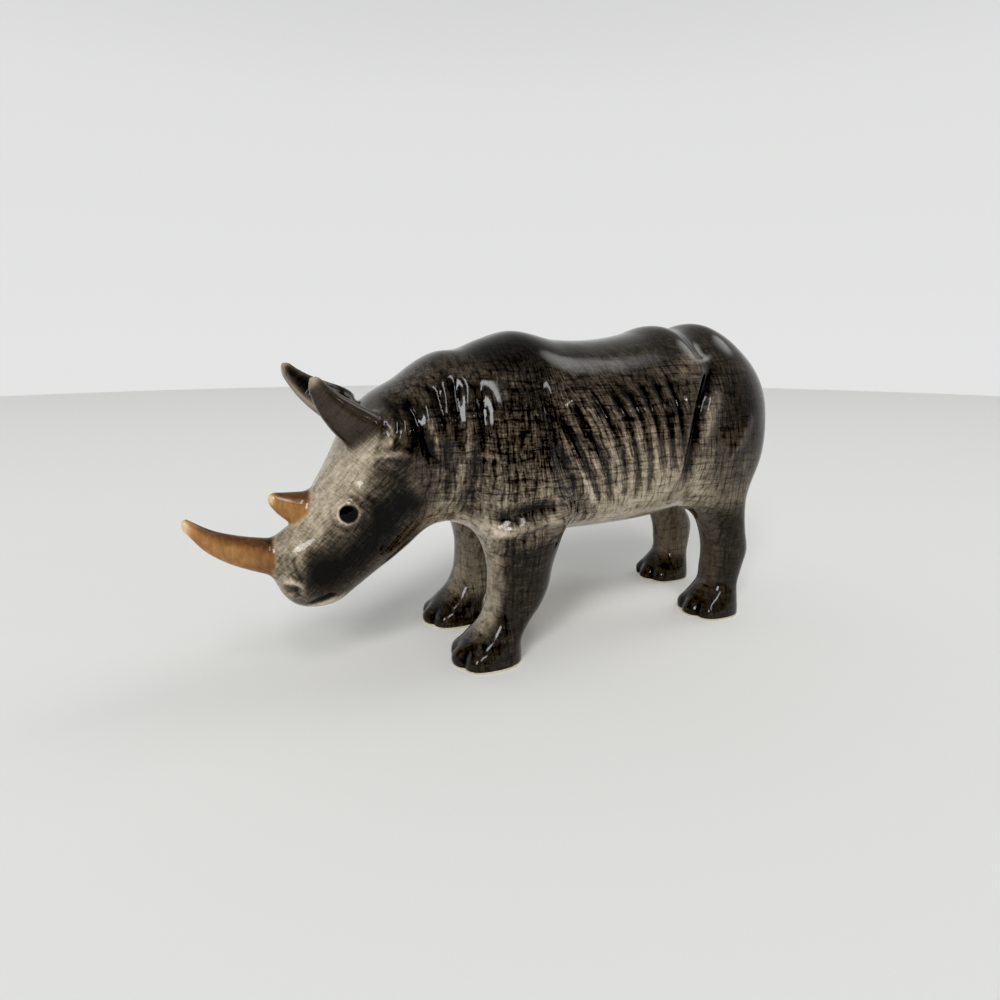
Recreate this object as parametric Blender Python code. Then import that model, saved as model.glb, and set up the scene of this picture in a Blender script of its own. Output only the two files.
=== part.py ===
"""A standing rhinoceros figurine, cast in one piece of porcelain and glazed.

Metres, +Z up. The animal faces -X and stands on Z = 0 on four flat soles, with the
origin under the middle of its box.

The figure is drawn on a canon of 46 parts to its height, so that one part is one
millimetre at this size. Each mass of the body, such as the trunk, the skull or a leg, is
a Form: a closed loft along a straight line, given as a draughtsman gives it, by its
lowest, widest and highest line and its half breadth at each station. The lofts are
joined and wrapped in one skin, the skin settles on the smooth blend of all the forms,
the folds are cut into it, and last the soles are cut flat.
"""

from dataclasses import dataclass

import bmesh
import bpy
import numpy as np

# The driving dimension, in metres, and the canon's part, one millimetre at this height
HEIGHT = 0.046
PARTS_IN_HEIGHT = 46
PART = HEIGHT / PARTS_IN_HEIGHT

# Proportions of the figure, in parts
FRONT_HORN_LENGTH = 13.9
FRONT_HORN_THICKNESS = 4.9
REAR_HORN_LENGTH = 6.6
REAR_HORN_THICKNESS = 5.3
EAR_LENGTH = 10.6
EAR_BREADTH = 6.0
EAR_DEPTH = 4.0
EAR_WALL = 0.7
TAIL_LENGTH = 13.0
TAIL_THICKNESS = 2.2
FORE_FOOT_LENGTH = 9.5
HIND_FOOT_LENGTH = 8.8
FORE_TRACK = 15.4
HIND_TRACK = 17.0
WHEELBASE = 41.8
SOLE_DEPTH = 1.0
TOE_RADIUS = 1.1

# The finish: dark grey-brown porcelain under a clear glaze
GLAZE_COLOUR = (0.085, 0.075, 0.060, 1.0)
GLAZE_ROUGHNESS = 0.08

# The skin's grain, in parts, and its final count of triangles
SKIN_GRAIN = 0.5
TRIANGLES = 9400
RING_POINTS = 40
RINGS = 44
CAP_RINGS = 8


def unit(vector):
    """The vector at length one."""
    vector = np.asarray(vector, float)
    return vector / np.linalg.norm(vector)


def curve(at, knots, values):
    """A smooth curve through the knots: cubic between two, its slope at each from both sides."""
    knots, values = np.asarray(knots, float), np.asarray(values, float)
    slopes = np.gradient(values, knots)
    i = np.clip(np.searchsorted(knots, at) - 1, 0, len(knots) - 2)
    width = knots[i + 1] - knots[i]
    s = np.clip((at - knots[i]) / width, 0, 1)
    rise = values[i + 1] - values[i]
    a = slopes[i] * width - rise
    b = rise - slopes[i + 1] * width
    return values[i] + s * rise + s * (1 - s) * (a * (1 - s) + b * s)


def soft_least(a, b, blend):
    """The lesser of two distances, rounded where they meet, as slip fills a joint."""
    near = np.maximum(blend - np.abs(a - b), 0) / blend
    return np.minimum(a, b) - near**2 * blend / 4


def soft_most(a, b, blend):
    """The greater of two distances, rounded where they meet."""
    return -soft_least(-a, -b, blend)


@dataclass(frozen=True)
class Form:
    """One mass of the body, in parts: a loft along a line with rounded ends.

    Each station is (at, low, wide, high, half, lean): how far along the line it is, its
    lowest, widest and highest line, its half breadth, and how far it leans to the side.
    """

    origin: tuple
    along: tuple
    up: tuple
    stations: tuple
    caps: tuple = (2.0, 2.0)
    square: float = 2.0
    blend: float = 4.0

    def axes(self):
        """The line's own directions: along it, up and to the side."""
        along = unit(self.along)
        up = np.asarray(self.up, float)
        up = unit(up - (up @ along) * along)
        return along, up, np.cross(along, up)

    def section(self, at):
        """The section's low, wide, high, half and lean at each place along the line."""
        table = np.array(self.stations)
        return [curve(at, table[:, 0], table[:, i]) for i in range(1, 6)]

    def cap_share(self, at):
        """How deep each place lies in an end's rounding, from 0 where it begins."""
        first, last = self.stations[0][0], self.stations[-1][0]
        start, end = self.caps
        into_start = np.maximum(first + start - at, 0)
        into_end = np.maximum(at - last + end, 0)
        return into_start / start + into_end / end, into_start + into_end

    def distance(self, points):
        """About how far each point is outside the form, along the ray from its middle."""
        along, up, side = self.axes()
        offset = points - np.asarray(self.origin, float)
        at, u, v = offset @ along, offset @ up, offset @ side
        held = np.clip(at, self.stations[0][0], self.stations[-1][0])
        low, wide, high, half, lean = self.section(held)
        u, v = u - wide, v - lean
        reach = np.where(u > 0, high - wide, wide - low)
        share, depth = self.cap_share(at)
        n = self.square
        flat = (np.abs(u / reach) ** n + np.abs(v / half) ** n) ** (2 / n)
        level = np.sqrt(flat + share**2)
        ray = np.sqrt(u**2 + v**2 + depth**2)
        return ray - ray / np.maximum(level, 1e-6)

    def loft(self):
        """The form's closed skin: rings of points and a pole at each end, with its faces."""
        first, last = self.stations[0][0], self.stations[-1][0]
        start, end = self.caps
        turn = np.linspace(0, np.pi / 2, CAP_RINGS + 1)[1:]
        at = np.concatenate(
            [
                first + start * (1 - np.cos(turn)),
                np.linspace(first + start, last - end, RINGS)[1:-1],
                last - end * (1 - np.cos(turn[::-1])),
            ]
        )
        shrink = np.sqrt(np.maximum(1 - self.cap_share(at)[0] ** 2, 0))
        low, wide, high, half, lean = self.section(at)
        angle = np.linspace(0, 2 * np.pi, RING_POINTS, endpoint=False)
        c, s = np.cos(angle), np.sin(angle)
        n = 2 / self.square
        across, upward = np.sign(c) * np.abs(c) ** n, np.sign(s) * np.abs(s) ** n
        reach = np.where(upward > 0, (high - wide)[:, None], (wide - low)[:, None])
        u = wide[:, None] + shrink[:, None] * reach * upward
        v = lean[:, None] + shrink[:, None] * half[:, None] * across
        along, up, side = self.axes()
        origin = np.asarray(self.origin, float)
        rings = origin + at[:, None, None] * along + u[..., None] * up + v[..., None] * side
        poles = []
        for place in (first, last):
            _, middle, _, _, tilt = self.section(np.array([place]))
            poles.append(origin + place * along + middle[0] * up + tilt[0] * side)
        return closed_skin(rings, poles)


def closed_skin(rings, poles):
    """Points and faces of a tube of rings closed by a fan at each pole."""
    count, around, _ = rings.shape
    points = np.concatenate([rings.reshape(-1, 3), np.array(poles)])
    faces = []
    for i in range(count - 1):
        for j in range(around):
            k = (j + 1) % around
            a, b = i * around, (i + 1) * around
            faces.append((a + j, b + j, b + k, a + k))
    last = (count - 1) * around
    for j in range(around):
        k = (j + 1) % around
        faces.append((count * around, j, k))
        faces.append((count * around + 1, last + k, last + j))
    return points, faces


# The trunk and neck: at is along the body from the fore feet back, heights from the ground
TRUNK = Form(
    origin=(0, 0, 0),
    along=(1, 0, 0),
    up=(0, 0, 1),
    stations=(
        (-17.0, 25.5, 30.5, 34.0, 7.0, 0),
        (-13.5, 24.4, 30.5, 36.0, 8.2, 0),
        (-10.0, 23.0, 30.5, 38.1, 9.1, 0),
        (-7.5, 21.6, 30.0, 40.2, 9.8, 0),
        (-4.5, 19.8, 29.0, 41.8, 10.5, 0),
        (-1.0, 17.7, 28.6, 42.3, 11.3, 0),
        (2.5, 16.6, 28.3, 43.6, 12.0, 0),
        (6.0, 16.1, 28.0, 44.6, 12.5, 0),
        (13.0, 15.7, 28.0, 43.5, 13.1, 0),
        (21.0, 15.6, 28.0, 43.5, 13.4, 0),
        (27.0, 15.8, 28.0, 44.4, 13.5, 0),
        (31.5, 16.4, 28.5, 45.6, 13.3, 0),
        (35.0, 17.0, 29.0, 45.0, 13.0, 0),
        (39.5, 18.6, 30.5, 46.0, 12.2, 0),
        (44.5, 20.7, 32.5, 44.0, 11.2, 0),
        (51.8, 25.0, 34.0, 41.6, 10.2, 0),
    ),
    caps=(4.0, 10.0),
    square=2.15,
)

# The skull: at runs from behind the ears to the muzzle, up is square to the brow
HEAD_ORIGIN = (-9.0, 0.0, 31.0)
HEAD_ALONG = (-0.66, 0.0, -0.751)
HEAD_UP = (-0.751, 0.0, 0.66)
SKULL = Form(
    origin=HEAD_ORIGIN,
    along=HEAD_ALONG,
    up=HEAD_UP,
    stations=(
        (-5.0, -7.5, 0.0, 4.4, 6.5, 0),
        (0.0, -9.0, 0.0, 5.0, 7.4, 0),
        (5.0, -10.0, 0.0, 5.2, 7.5, 0),
        (9.0, -9.8, -0.5, 5.8, 7.0, 0),
        (13.0, -9.1, -1.0, 5.4, 6.2, 0),
        (17.0, -8.0, -1.2, 4.5, 5.3, 0),
        (21.0, -6.9, -1.5, 5.2, 4.8, 0),
        (24.0, -6.1, -1.5, 4.1, 4.5, 0),
        (26.3, -5.3, -1.5, 3.2, 4.2, 0),
    ),
    caps=(4.0, 4.6),
    square=2.2,
    blend=5.0,
)


def horn(root, along, length, thickness, sag):
    """A horn: a curved cone that sags by that much of its length and ends in a blunt tip."""
    girth = thickness / 2
    shares = (
        (0.00, 1.00, 0.00),
        (0.25, 0.93, -0.45),
        (0.50, 0.76, -0.85),
        (0.75, 0.53, -0.75),
        (0.90, 0.36, -0.25),
        (1.00, 0.26, 0.15),
    )
    stations = []
    for at, size, bow in shares:
        middle, half = bow * sag * length, size * girth
        stations.append((at * length, middle - half, middle, middle + half, half * 0.85, 0))
    return Form(root, along, (0, 0, 1), tuple(stations), (0.5, 0.7), 2.0, 1.2)


FRONT_HORN = horn((-24.8, 0, 15.8), (-0.88, 0, 0.45), FRONT_HORN_LENGTH, FRONT_HORN_THICKNESS, 0.085)
REAR_HORN = horn((-21.0, 0, 21.8), (-0.92, 0, 0.37), REAR_HORN_LENGTH, REAR_HORN_THICKNESS, 0.05)


def leg(table, foot, hip_x, blend):
    """A leg, from rows of (height, front, back, half, out) with 0 under the foot's middle.

    The rows below ANKLE are the foot, and grow with its length. Above them the leg swings
    from the foot's place to the hip's, and out moves a row away from the body's middle.
    """
    foot_x, track, side, foot_length = foot
    grown = foot_length / 2 / table[0][2]
    stations = []
    for height, front, back, half, out in table:
        share = grown if height < ANKLE else 1.0
        rise = np.clip((height - ANKLE) / SWING_HEIGHT, 0, 1)
        shift = (hip_x - foot_x) * rise**2 * (3 - 2 * rise)
        stations.append(
            (
                height,
                front * share + shift,
                (front + back) / 2 * share + shift,
                back * share + shift,
                half * share,
                side * out,
            )
        )
    root = (foot_x, side * track / 2, 0)
    return Form(root, (0, 0, 1), (1, 0, 0), tuple(stations), (0.8, 5.0), 2.3, blend)


FORE_LEG = (
    (-SOLE_DEPTH, -4.9, 4.9, 4.7, 0),
    (1.2, -4.9, 4.9, 4.7, 0),
    (3.2, -3.1, 4.9, 4.3, 0),
    (5.2, -1.0, 5.9, 3.7, 0),
    (7.5, 0.1, 7.8, 3.7, 0),
    (10.0, 0.4, 8.9, 4.0, 0),
    (13.0, 0.3, 9.2, 4.4, 0.1),
    (17.0, -0.9, 10.1, 5.2, 0.3),
    (22.0, -2.5, 11.9, 5.3, 0.3),
    (30.0, -1.7, 10.3, 4.6, -0.5),
)
HIND_LEG = (
    (-SOLE_DEPTH, -4.4, 4.4, 4.3, 0),
    (1.0, -4.4, 4.4, 4.3, 0),
    (2.8, -3.3, 4.3, 3.9, 0),
    (4.8, -1.5, 4.3, 3.3, 0),
    (7.5, -1.3, 4.9, 3.3, 0),
    (10.5, -1.4, 5.2, 3.6, 0),
    (14.0, -2.6, 3.6, 4.0, 0),
    (19.0, -6.2, 2.6, 4.7, -0.3),
    (26.0, -9.3, 5.1, 5.4, -0.9),
    (38.0, -7.0, 4.5, 4.0, -3.0),
)
ANKLE = 4.0
SWING_HEIGHT = 22.0
NEAR, FAR = -1, 1
FEET = (
    (-0.7, FORE_TRACK, NEAR, FORE_FOOT_LENGTH),
    (0.9, FORE_TRACK, FAR, FORE_FOOT_LENGTH),
    (WHEELBASE - 2.3, HIND_TRACK, NEAR, HIND_FOOT_LENGTH),
    (WHEELBASE + 2.4, HIND_TRACK, FAR, HIND_FOOT_LENGTH),
)
LEGS = (
    leg(FORE_LEG, FEET[0], 0.0, 3.0),
    leg(FORE_LEG, FEET[1], 2.0, 3.0),
    leg(HIND_LEG, FEET[2], WHEELBASE, 4.0),
    leg(HIND_LEG, FEET[3], WHEELBASE, 4.0),
)


def ear(side, root, along, opening):
    """An ear and the cup that hollows it, which opens towards the given direction."""
    broad, deep = EAR_BREADTH / 2, EAR_DEPTH / 2
    shares = (
        (0.00, 0.92, 0.0),
        (0.20, 0.90, -0.1),
        (0.42, 0.76, -0.4),
        (0.65, 0.56, -0.5),
        (0.85, 0.38, -0.2),
        (1.00, 0.26, 0.3),
    )
    place = (root[0], side * root[1], root[2])
    line = (along[0], side * along[1], along[2])
    mouth = (opening[0], side * opening[1], opening[2])
    shell, cup = [], []
    for at, size, bow in shares:
        low, half = deep * size, broad * size
        shell.append((at * EAR_LENGTH, -low, 0, low, half, side * bow))
        if at > 0.1:
            floor, open_half = min(EAR_WALL - low, -0.1), max(half - EAR_WALL, 0.25)
            cup.append((at * EAR_LENGTH * 0.97, floor, 0.5 * low, 2.5 * low, open_half, side * bow))
    return (
        Form(place, line, mouth, tuple(shell), (1.0, 1.2), 2.0, 2.0),
        Form(place, line, mouth, tuple(cup), (1.6, 0.8), 2.0, 0.4),
    )


EARS = (
    ear(NEAR, (-15.2, 5.6, 31.6), (-0.70, 0.14, 0.71), (0.25, -0.93, 0.28)),
    ear(FAR, (-15.0, 5.9, 33.8), (-0.78, 0.18, 0.60), (0.25, -0.93, 0.28)),
)

# The tail hangs against the rump
TAIL = Form(
    origin=(49.3, 0, 34.5),
    along=(0.04, 0, -1),
    up=(1, 0, 0),
    stations=tuple(
        (share * TAIL_LENGTH, -size * TAIL_THICKNESS, 0, size * TAIL_THICKNESS, size * TAIL_THICKNESS, 0)
        for share, size in ((0.0, 0.62), (0.3, 0.50), (0.65, 0.42), (0.85, 0.60), (1.0, 0.30))
    ),
    caps=(1.0, 1.5),
    blend=1.5,
)

SOLID_FORMS = (SKULL, *LEGS, TAIL, REAR_HORN, FRONT_HORN)


def blended_distance(points):
    """How far each point, in parts, is outside the one smooth body of all the forms."""
    total = TRUNK.distance(points)
    for form in SOLID_FORMS:
        total = soft_least(total, form.distance(points), form.blend)
    for shell, cup in EARS:
        hollowed = soft_most(shell.distance(points), -cup.distance(points), cup.blend)
        total = soft_least(total, hollowed, shell.blend)
    return total


def settled(points, passes=4):
    """The points moved onto the blended surface by Newton's steps, and the way out there."""
    step = 0.04
    for turn in range(passes + 1):
        height = blended_distance(points)
        slope = np.stack(
            [
                (blended_distance(points + step * axis) - height) / step
                for axis in np.eye(3)
            ],
            axis=1,
        )
        steep = np.maximum((slope**2).sum(1), 1e-3)
        if turn < passes:
            move = np.clip(height / steep, -0.6, 0.6)
            points = points - move[:, None] * slope
    return points, slope / np.sqrt(steep)[:, None]


@dataclass(frozen=True)
class Furrow:
    """A furrow cut into both sides, or a ridge where its depth is negative.

    Its line is a smooth curve through (x, z) points of the side view, in parts.
    """

    line: tuple
    width: float
    depth: float
    run_out: float = 0.2

    def points(self):
        """The line's smooth curve, as close points."""
        knots = np.array(self.line, float)
        if len(knots) < 3:
            return knots
        place = np.arange(len(knots))
        fine = np.linspace(0, len(knots) - 1, 8 * len(knots))
        return np.stack([curve(fine, place, knots[:, 0]), curve(fine, place, knots[:, 1])], axis=1)

    def cut(self, points):
        """How deep the furrow cuts at each point: a bell across the line that runs out at its ends."""
        drawn = self.points()
        flat = points[:, (0, 2)]
        nearest, place = np.full(len(points), np.inf), np.zeros(len(points))
        for i, (start, end) in enumerate(zip(drawn, drawn[1:])):
            run = end - start
            share = np.clip(((flat - start) @ run) / (run @ run), 0, 1)
            away = ((flat - start - share[:, None] * run) ** 2).sum(1)
            place = np.where(away < nearest, (i + share) / (len(drawn) - 1), place)
            nearest = np.minimum(nearest, away)
        ends = 1.0
        if self.run_out > 0:
            ends = np.clip(np.minimum(place, 1 - place) / self.run_out, 0, 1)
        return self.depth * ends * np.exp(-nearest / self.width**2)


def ring(x, z, radius, rise):
    """A closed round line, taller than wide by rise."""
    turn = np.linspace(0, 2 * np.pi, 13)
    return tuple((x + radius * np.cos(t), z + radius * rise * np.sin(t)) for t in turn)


# The furrows between the ribs lean less from each to the next
RIB_LINES = (
    ((7.4, 34.8), (8.8, 32.2), (10.4, 29.3), (12.2, 26.3), (14.2, 23.0), (15.8, 20.4)),
    ((9.2, 36.2), (10.9, 33.2), (13.0, 29.8), (14.8, 26.4), (16.2, 23.0), (16.8, 20.8)),
    ((12.3, 37.6), (14.3, 34.6), (16.4, 30.9), (17.7, 27.0), (18.6, 23.2), (19.0, 21.2)),
    ((15.4, 37.9), (17.2, 35.0), (18.6, 31.4), (19.8, 27.5), (20.7, 23.0), (21.0, 21.4)),
    ((17.8, 38.2), (19.6, 35.4), (21.0, 31.7), (21.9, 27.8), (22.8, 23.0), (23.1, 21.6)),
    ((20.6, 38.7), (21.9, 35.9), (23.1, 32.5), (24.0, 28.1), (24.8, 23.5)),
    ((23.2, 38.8), (24.3, 36.0), (25.1, 32.7), (25.8, 28.8), (26.3, 24.4)),
    ((25.9, 39.2), (26.6, 36.4), (27.3, 33.0), (27.8, 29.2), (28.1, 26.0)),
)
RIBS = tuple(Furrow(line, 0.60, 0.34) for line in RIB_LINES)
NECK = tuple(
    Furrow(line, width, depth)
    for line, width, depth in (
        (((-12.4, 36.0), (-11.8, 33.5), (-11.2, 30.5)), 0.6, 0.35),
        (((-10.6, 37.0), (-10.2, 34.1), (-9.9, 32.2), (-9.1, 30.2), (-8.2, 27.5)), 0.95, 0.65),
        (((-7.0, 38.9), (-7.3, 36.0), (-7.2, 33.5), (-6.9, 31.0), (-7.0, 25.5)), 0.95, 0.80),
        (((-4.5, 39.7), (-5.1, 36.6), (-5.3, 31.0), (-6.1, 26.0), (-5.9, 22.0)), 0.95, 0.90),
        (((-1.9, 39.6), (-2.2, 33.6), (-2.5, 30.9), (-3.5, 25.0), (-3.8, 20.0)), 1.05, 1.05),
    )
)
SHOULDER = (
    Furrow(((6.6, 41.0), (5.9, 36.5), (7.2, 31.0), (8.3, 26.0), (11.0, 22.0), (13.6, 18.8)), 1.0, 0.60),
    Furrow(((7.4, 30.5), (9.3, 26.2), (11.8, 22.6), (14.0, 19.6)), 0.7, 0.35),
    Furrow(((-1.6, 21.0), (0.6, 21.3), (3.4, 22.1), (7.5, 22.2)), 1.0, 0.80),
    Furrow(((-2.4, 19.6), (-0.6, 19.2), (1.5, 19.7), (5.6, 20.4), (9.8, 20.4)), 0.7, -0.60),
    Furrow(((-1.6, 17.7), (1.5, 18.3), (3.9, 19.0), (6.4, 19.2), (9.2, 19.0)), 0.5, 0.65),
    Furrow(((12.4, 21.6), (13.4, 19.6), (13.6, 17.4)), 0.45, 0.35),
)
HAUNCH = (
    Furrow(
        ((36.2, 40.5), (33.3, 37.4), (31.2, 34.0), (29.8, 29.6), (29.2, 25.5), (29.6, 20.5)), 0.9, 0.85
    ),
    Furrow(((34.8, 36.5), (32.8, 33.0), (31.4, 29.5)), 1.1, -0.45),
    Furrow(((41.4, 32.9), (40.0, 30.7), (38.4, 28.4), (36.8, 26.2)), 0.8, -0.25),
    Furrow(((34.2, 45.5), (33.9, 43.0), (34.4, 40.5)), 1.2, 0.30),
)
FACE = (
    Furrow(ring(-18.8, 22.6, 1.8, 1.0), 0.45, 0.25, 0),
    Furrow(((-19.0, 22.5), (-18.6, 22.7)), 1.1, -0.30, 0),
    Furrow(((-25.7, 12.9), (-25.0, 12.7)), 0.7, 0.60, 0),
    Furrow(((-23.9, 10.4), (-22.0, 11.3), (-20.1, 11.9)), 0.45, 0.30),
    Furrow(((-15.9, 28.8), (-13.7, 27.3), (-11.3, 24.2), (-9.3, 21.0)), 0.8, 0.40),
    Furrow(((-20.9, 25.4), (-18.9, 26.0), (-16.8, 25.0)), 0.8, -0.40),
)
TOE_ANGLES = (-0.85, 0.0, 0.85)
TOE_LIFT = 1.3
TOE_RISE = 0.50
CLEFT_ANGLES = (-0.43, 0.43)
CLEFT_WIDTH = 0.45
CLEFT_DEPTH = 0.40
CLEFT_HEIGHT = 2.6


def toes(points):
    """How far the three rounded toes of each foot stand out at each point, with clefts between."""
    rise = np.zeros(len(points))
    for x, track, side, length in FEET:
        ahead, aside = x - points[:, 0], points[:, 1] - side * track / 2
        radius, angle = np.hypot(ahead, aside), np.arctan2(aside, ahead)
        on_foot = (radius < 0.8 * length) & (points[:, 2] < ANKLE)
        for toe in TOE_ANGLES:
            across = (angle - toe) * radius / TOE_RADIUS
            bump = TOE_RISE * np.exp(-(across**2) - ((points[:, 2] - TOE_LIFT) / TOE_RADIUS) ** 2)
            rise += np.where(on_foot, bump, 0)
        for gap in CLEFT_ANGLES:
            across = (angle - gap) * radius / CLEFT_WIDTH
            fade = np.clip((CLEFT_HEIGHT - points[:, 2]) / CLEFT_WIDTH, 0, 1)
            at_edge = on_foot & (radius > 0.3 * length)
            rise -= np.where(at_edge, CLEFT_DEPTH * fade * np.exp(-(across**2)), 0)
    return rise


def carved(points, out):
    """The points with the furrows cut in along the way out and the nails raised."""
    sideways = np.clip(1.6 * out[:, 1] * np.sign(points[:, 1]), 0, 1)
    sideways *= np.clip((np.abs(points[:, 1]) - 1.0) / 3.0, 0, 1)
    depth = sum(furrow.cut(points) for furrow in (*NECK, *SHOULDER, *RIBS, *HAUNCH, *FACE))
    return points + (toes(points) - depth * sideways)[:, None] * out


def mesh_object(name, points, faces):
    """A new object that holds these points, given in parts, and faces."""
    mesh = bpy.data.meshes.new(name)
    mesh.from_pydata((np.asarray(points) * PART).tolist(), [], faces)
    made = bpy.data.objects.new(name, mesh)
    bpy.context.scene.collection.objects.link(made)
    return made


def skin_over(forms):
    """Points, in parts, and faces of one closed skin drawn over the forms' lofts."""
    heap = bmesh.new()
    for form in forms:
        mesh = bpy.data.meshes.new("mass")
        points, faces = form.loft()
        mesh.from_pydata(points.tolist(), [], faces)
        heap.from_mesh(mesh)
        bpy.data.meshes.remove(mesh)
    bmesh.ops.recalc_face_normals(heap, faces=heap.faces)
    mesh = bpy.data.meshes.new("masses")
    heap.to_mesh(mesh)
    heap.free()
    masses = bpy.data.objects.new("masses", mesh)
    bpy.context.scene.collection.objects.link(masses)
    wrap = masses.modifiers.new("wrap", "REMESH")
    wrap.mode = "VOXEL"
    wrap.voxel_size = SKIN_GRAIN
    skin = masses.evaluated_get(bpy.context.evaluated_depsgraph_get()).to_mesh()
    points = np.empty(len(skin.vertices) * 3)
    skin.vertices.foreach_get("co", points)
    faces = [tuple(face.vertices) for face in skin.polygons]
    bpy.data.objects.remove(masses)
    return points.reshape(-1, 3), faces


def glaze_material():
    """The glazed body's material."""
    material = bpy.data.materials.new("glazed_porcelain")
    material.use_nodes = True
    shader = material.node_tree.nodes["Principled BSDF"]
    shader.inputs["Base Color"].default_value = GLAZE_COLOUR
    shader.inputs["Roughness"].default_value = GLAZE_ROUGHNESS
    shader.inputs["Metallic"].default_value = 0.0
    return material


def ground_block(extent):
    """A block below Z = 0 that cuts the soles flat."""
    mesh = bpy.data.meshes.new("ground")
    build = bmesh.new()
    bmesh.ops.create_cube(build, size=2 * extent)
    bmesh.ops.translate(build, verts=build.verts, vec=(0, 0, -extent))
    build.to_mesh(mesh)
    build.free()
    block = bpy.data.objects.new("ground", mesh)
    bpy.context.scene.collection.objects.link(block)
    block.hide_render = True
    block.display_type = "WIRE"
    return block


def main():
    """Builds the figurine as one object."""
    for found in list(bpy.data.objects):
        bpy.data.objects.remove(found)
    points, faces = skin_over((TRUNK, *SOLID_FORMS, *(shell for shell, _ in EARS)))
    points, out = settled(points)
    points = carved(points, out)
    middle = (points.max(axis=0) + points.min(axis=0)) / 2
    points[:, :2] -= middle[:2]
    figure = mesh_object("rhinoceros", points, faces)
    figure.data.materials.append(glaze_material())
    figure.data.shade_smooth()
    thin = figure.modifiers.new("thin", "DECIMATE")
    thin.ratio = TRIANGLES / (2 * len(faces))
    soles = figure.modifiers.new("soles", "BOOLEAN")
    soles.operation = "DIFFERENCE"
    soles.object = ground_block(2 * HEIGHT)


main()
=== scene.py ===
"""A standing rhinoceros figurine of painted porcelain under a clear glaze.

The figure is drawn on a canon of 46 parts to its height, with X from the fore feet back
and Z up from the ground. Each mass of the body is a Form, a closed loft along a line. The
lofts are wrapped in one fine skin, the skin settles on the smooth blend of all the forms,
the folds, lids, nails and wrinkles are carved into it, and the painter's tones are laid on
its points. Last it is scaled to the box that the frame gives the figurine.
"""

import logging
from dataclasses import dataclass, field
from enum import Enum

import bmesh
import bpy
import numpy as np
from mathutils import Matrix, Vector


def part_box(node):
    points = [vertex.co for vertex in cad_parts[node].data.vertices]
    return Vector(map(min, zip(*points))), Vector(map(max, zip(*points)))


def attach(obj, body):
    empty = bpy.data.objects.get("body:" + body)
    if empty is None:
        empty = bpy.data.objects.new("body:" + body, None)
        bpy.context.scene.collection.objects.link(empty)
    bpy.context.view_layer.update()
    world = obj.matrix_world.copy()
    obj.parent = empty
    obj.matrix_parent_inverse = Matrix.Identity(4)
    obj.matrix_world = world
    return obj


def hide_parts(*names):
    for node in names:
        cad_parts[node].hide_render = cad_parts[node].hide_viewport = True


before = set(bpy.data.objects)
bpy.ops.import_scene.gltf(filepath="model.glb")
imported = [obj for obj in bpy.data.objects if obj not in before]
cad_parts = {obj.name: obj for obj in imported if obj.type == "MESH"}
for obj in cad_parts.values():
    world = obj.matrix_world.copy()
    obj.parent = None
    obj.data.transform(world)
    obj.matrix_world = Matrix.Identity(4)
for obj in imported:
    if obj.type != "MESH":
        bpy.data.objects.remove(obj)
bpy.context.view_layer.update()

Array = np.ndarray
Place = tuple[float, float, float]
Flat = tuple[float, float]
Line = tuple[Flat, ...]
Rows = tuple[tuple[float, ...], ...]
Stops = tuple[tuple[float, str], ...]
Tree = bpy.types.NodeTree
Socket = bpy.types.NodeSocket

log = logging.getLogger("figurine")

NODE = "rhinoceros"
BODY = "root"

MM = 0.001

# The print's black point: linear light below it prints black
BLACK_POINT = 0.012

# The axes of the side view, X and Z, in which folds are drawn
SIDE_VIEW = (0, 2)

# How many widths away from its line a fold is still felt
FOLD_REACH = 3.2

# How round a pinched furrow's bottom is, in parts, and its fall as a share of its width
PINCH_ROUND = 0.2
PINCH_WIDTH = 0.7


class Side(Enum):
    """The animal's two sides, as the sign of Y."""

    NEAR = -1
    FAR = 1


# Numbers


def unit(vector: Place | Array) -> Array:
    """The vector at length one."""
    vector = np.asarray(vector, float)
    return vector / np.linalg.norm(vector)


def curve(at: Array, knots: Array, values: Array) -> Array:
    """Reads a smooth curve through knots.

    Between two knots the curve is a cubic, and its slope at each knot is taken from both
    neighbours.

    Args:
        at: the places to read.
        knots: the places of the knots, rising.
        values: the curve's value at each knot.

    Returns:
        The curve's value at each place.
    """
    knots, values = np.asarray(knots, float), np.asarray(values, float)
    slopes = np.gradient(values, knots)
    i = np.clip(np.searchsorted(knots, at) - 1, 0, len(knots) - 2)
    width = knots[i + 1] - knots[i]
    s = np.clip((at - knots[i]) / width, 0, 1)
    rise = values[i + 1] - values[i]
    a = slopes[i] * width - rise
    b = rise - slopes[i + 1] * width
    return values[i] + s * rise + s * (1 - s) * (a * (1 - s) + b * s)


def ramp(at: Array, start: float, end: float) -> Array:
    """A smooth step from 0 at start to 1 at end: 3s^2 - 2s^3, with s the share of the way."""
    s = np.clip((at - start) / (end - start), 0, 1)
    return s * s * (3 - 2 * s)


def soft_least(a: Array, b: Array, blend: float) -> Array:
    """The lesser of two distances, less a parabola where they differ by under blend."""
    near = np.maximum(blend - np.abs(a - b), 0) / blend
    return np.minimum(a, b) - near**2 * blend / 4


def soft_most(a: Array, b: Array, blend: float) -> Array:
    """The greater of two distances, rounded where they meet."""
    return -soft_least(-a, -b, blend)


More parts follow.
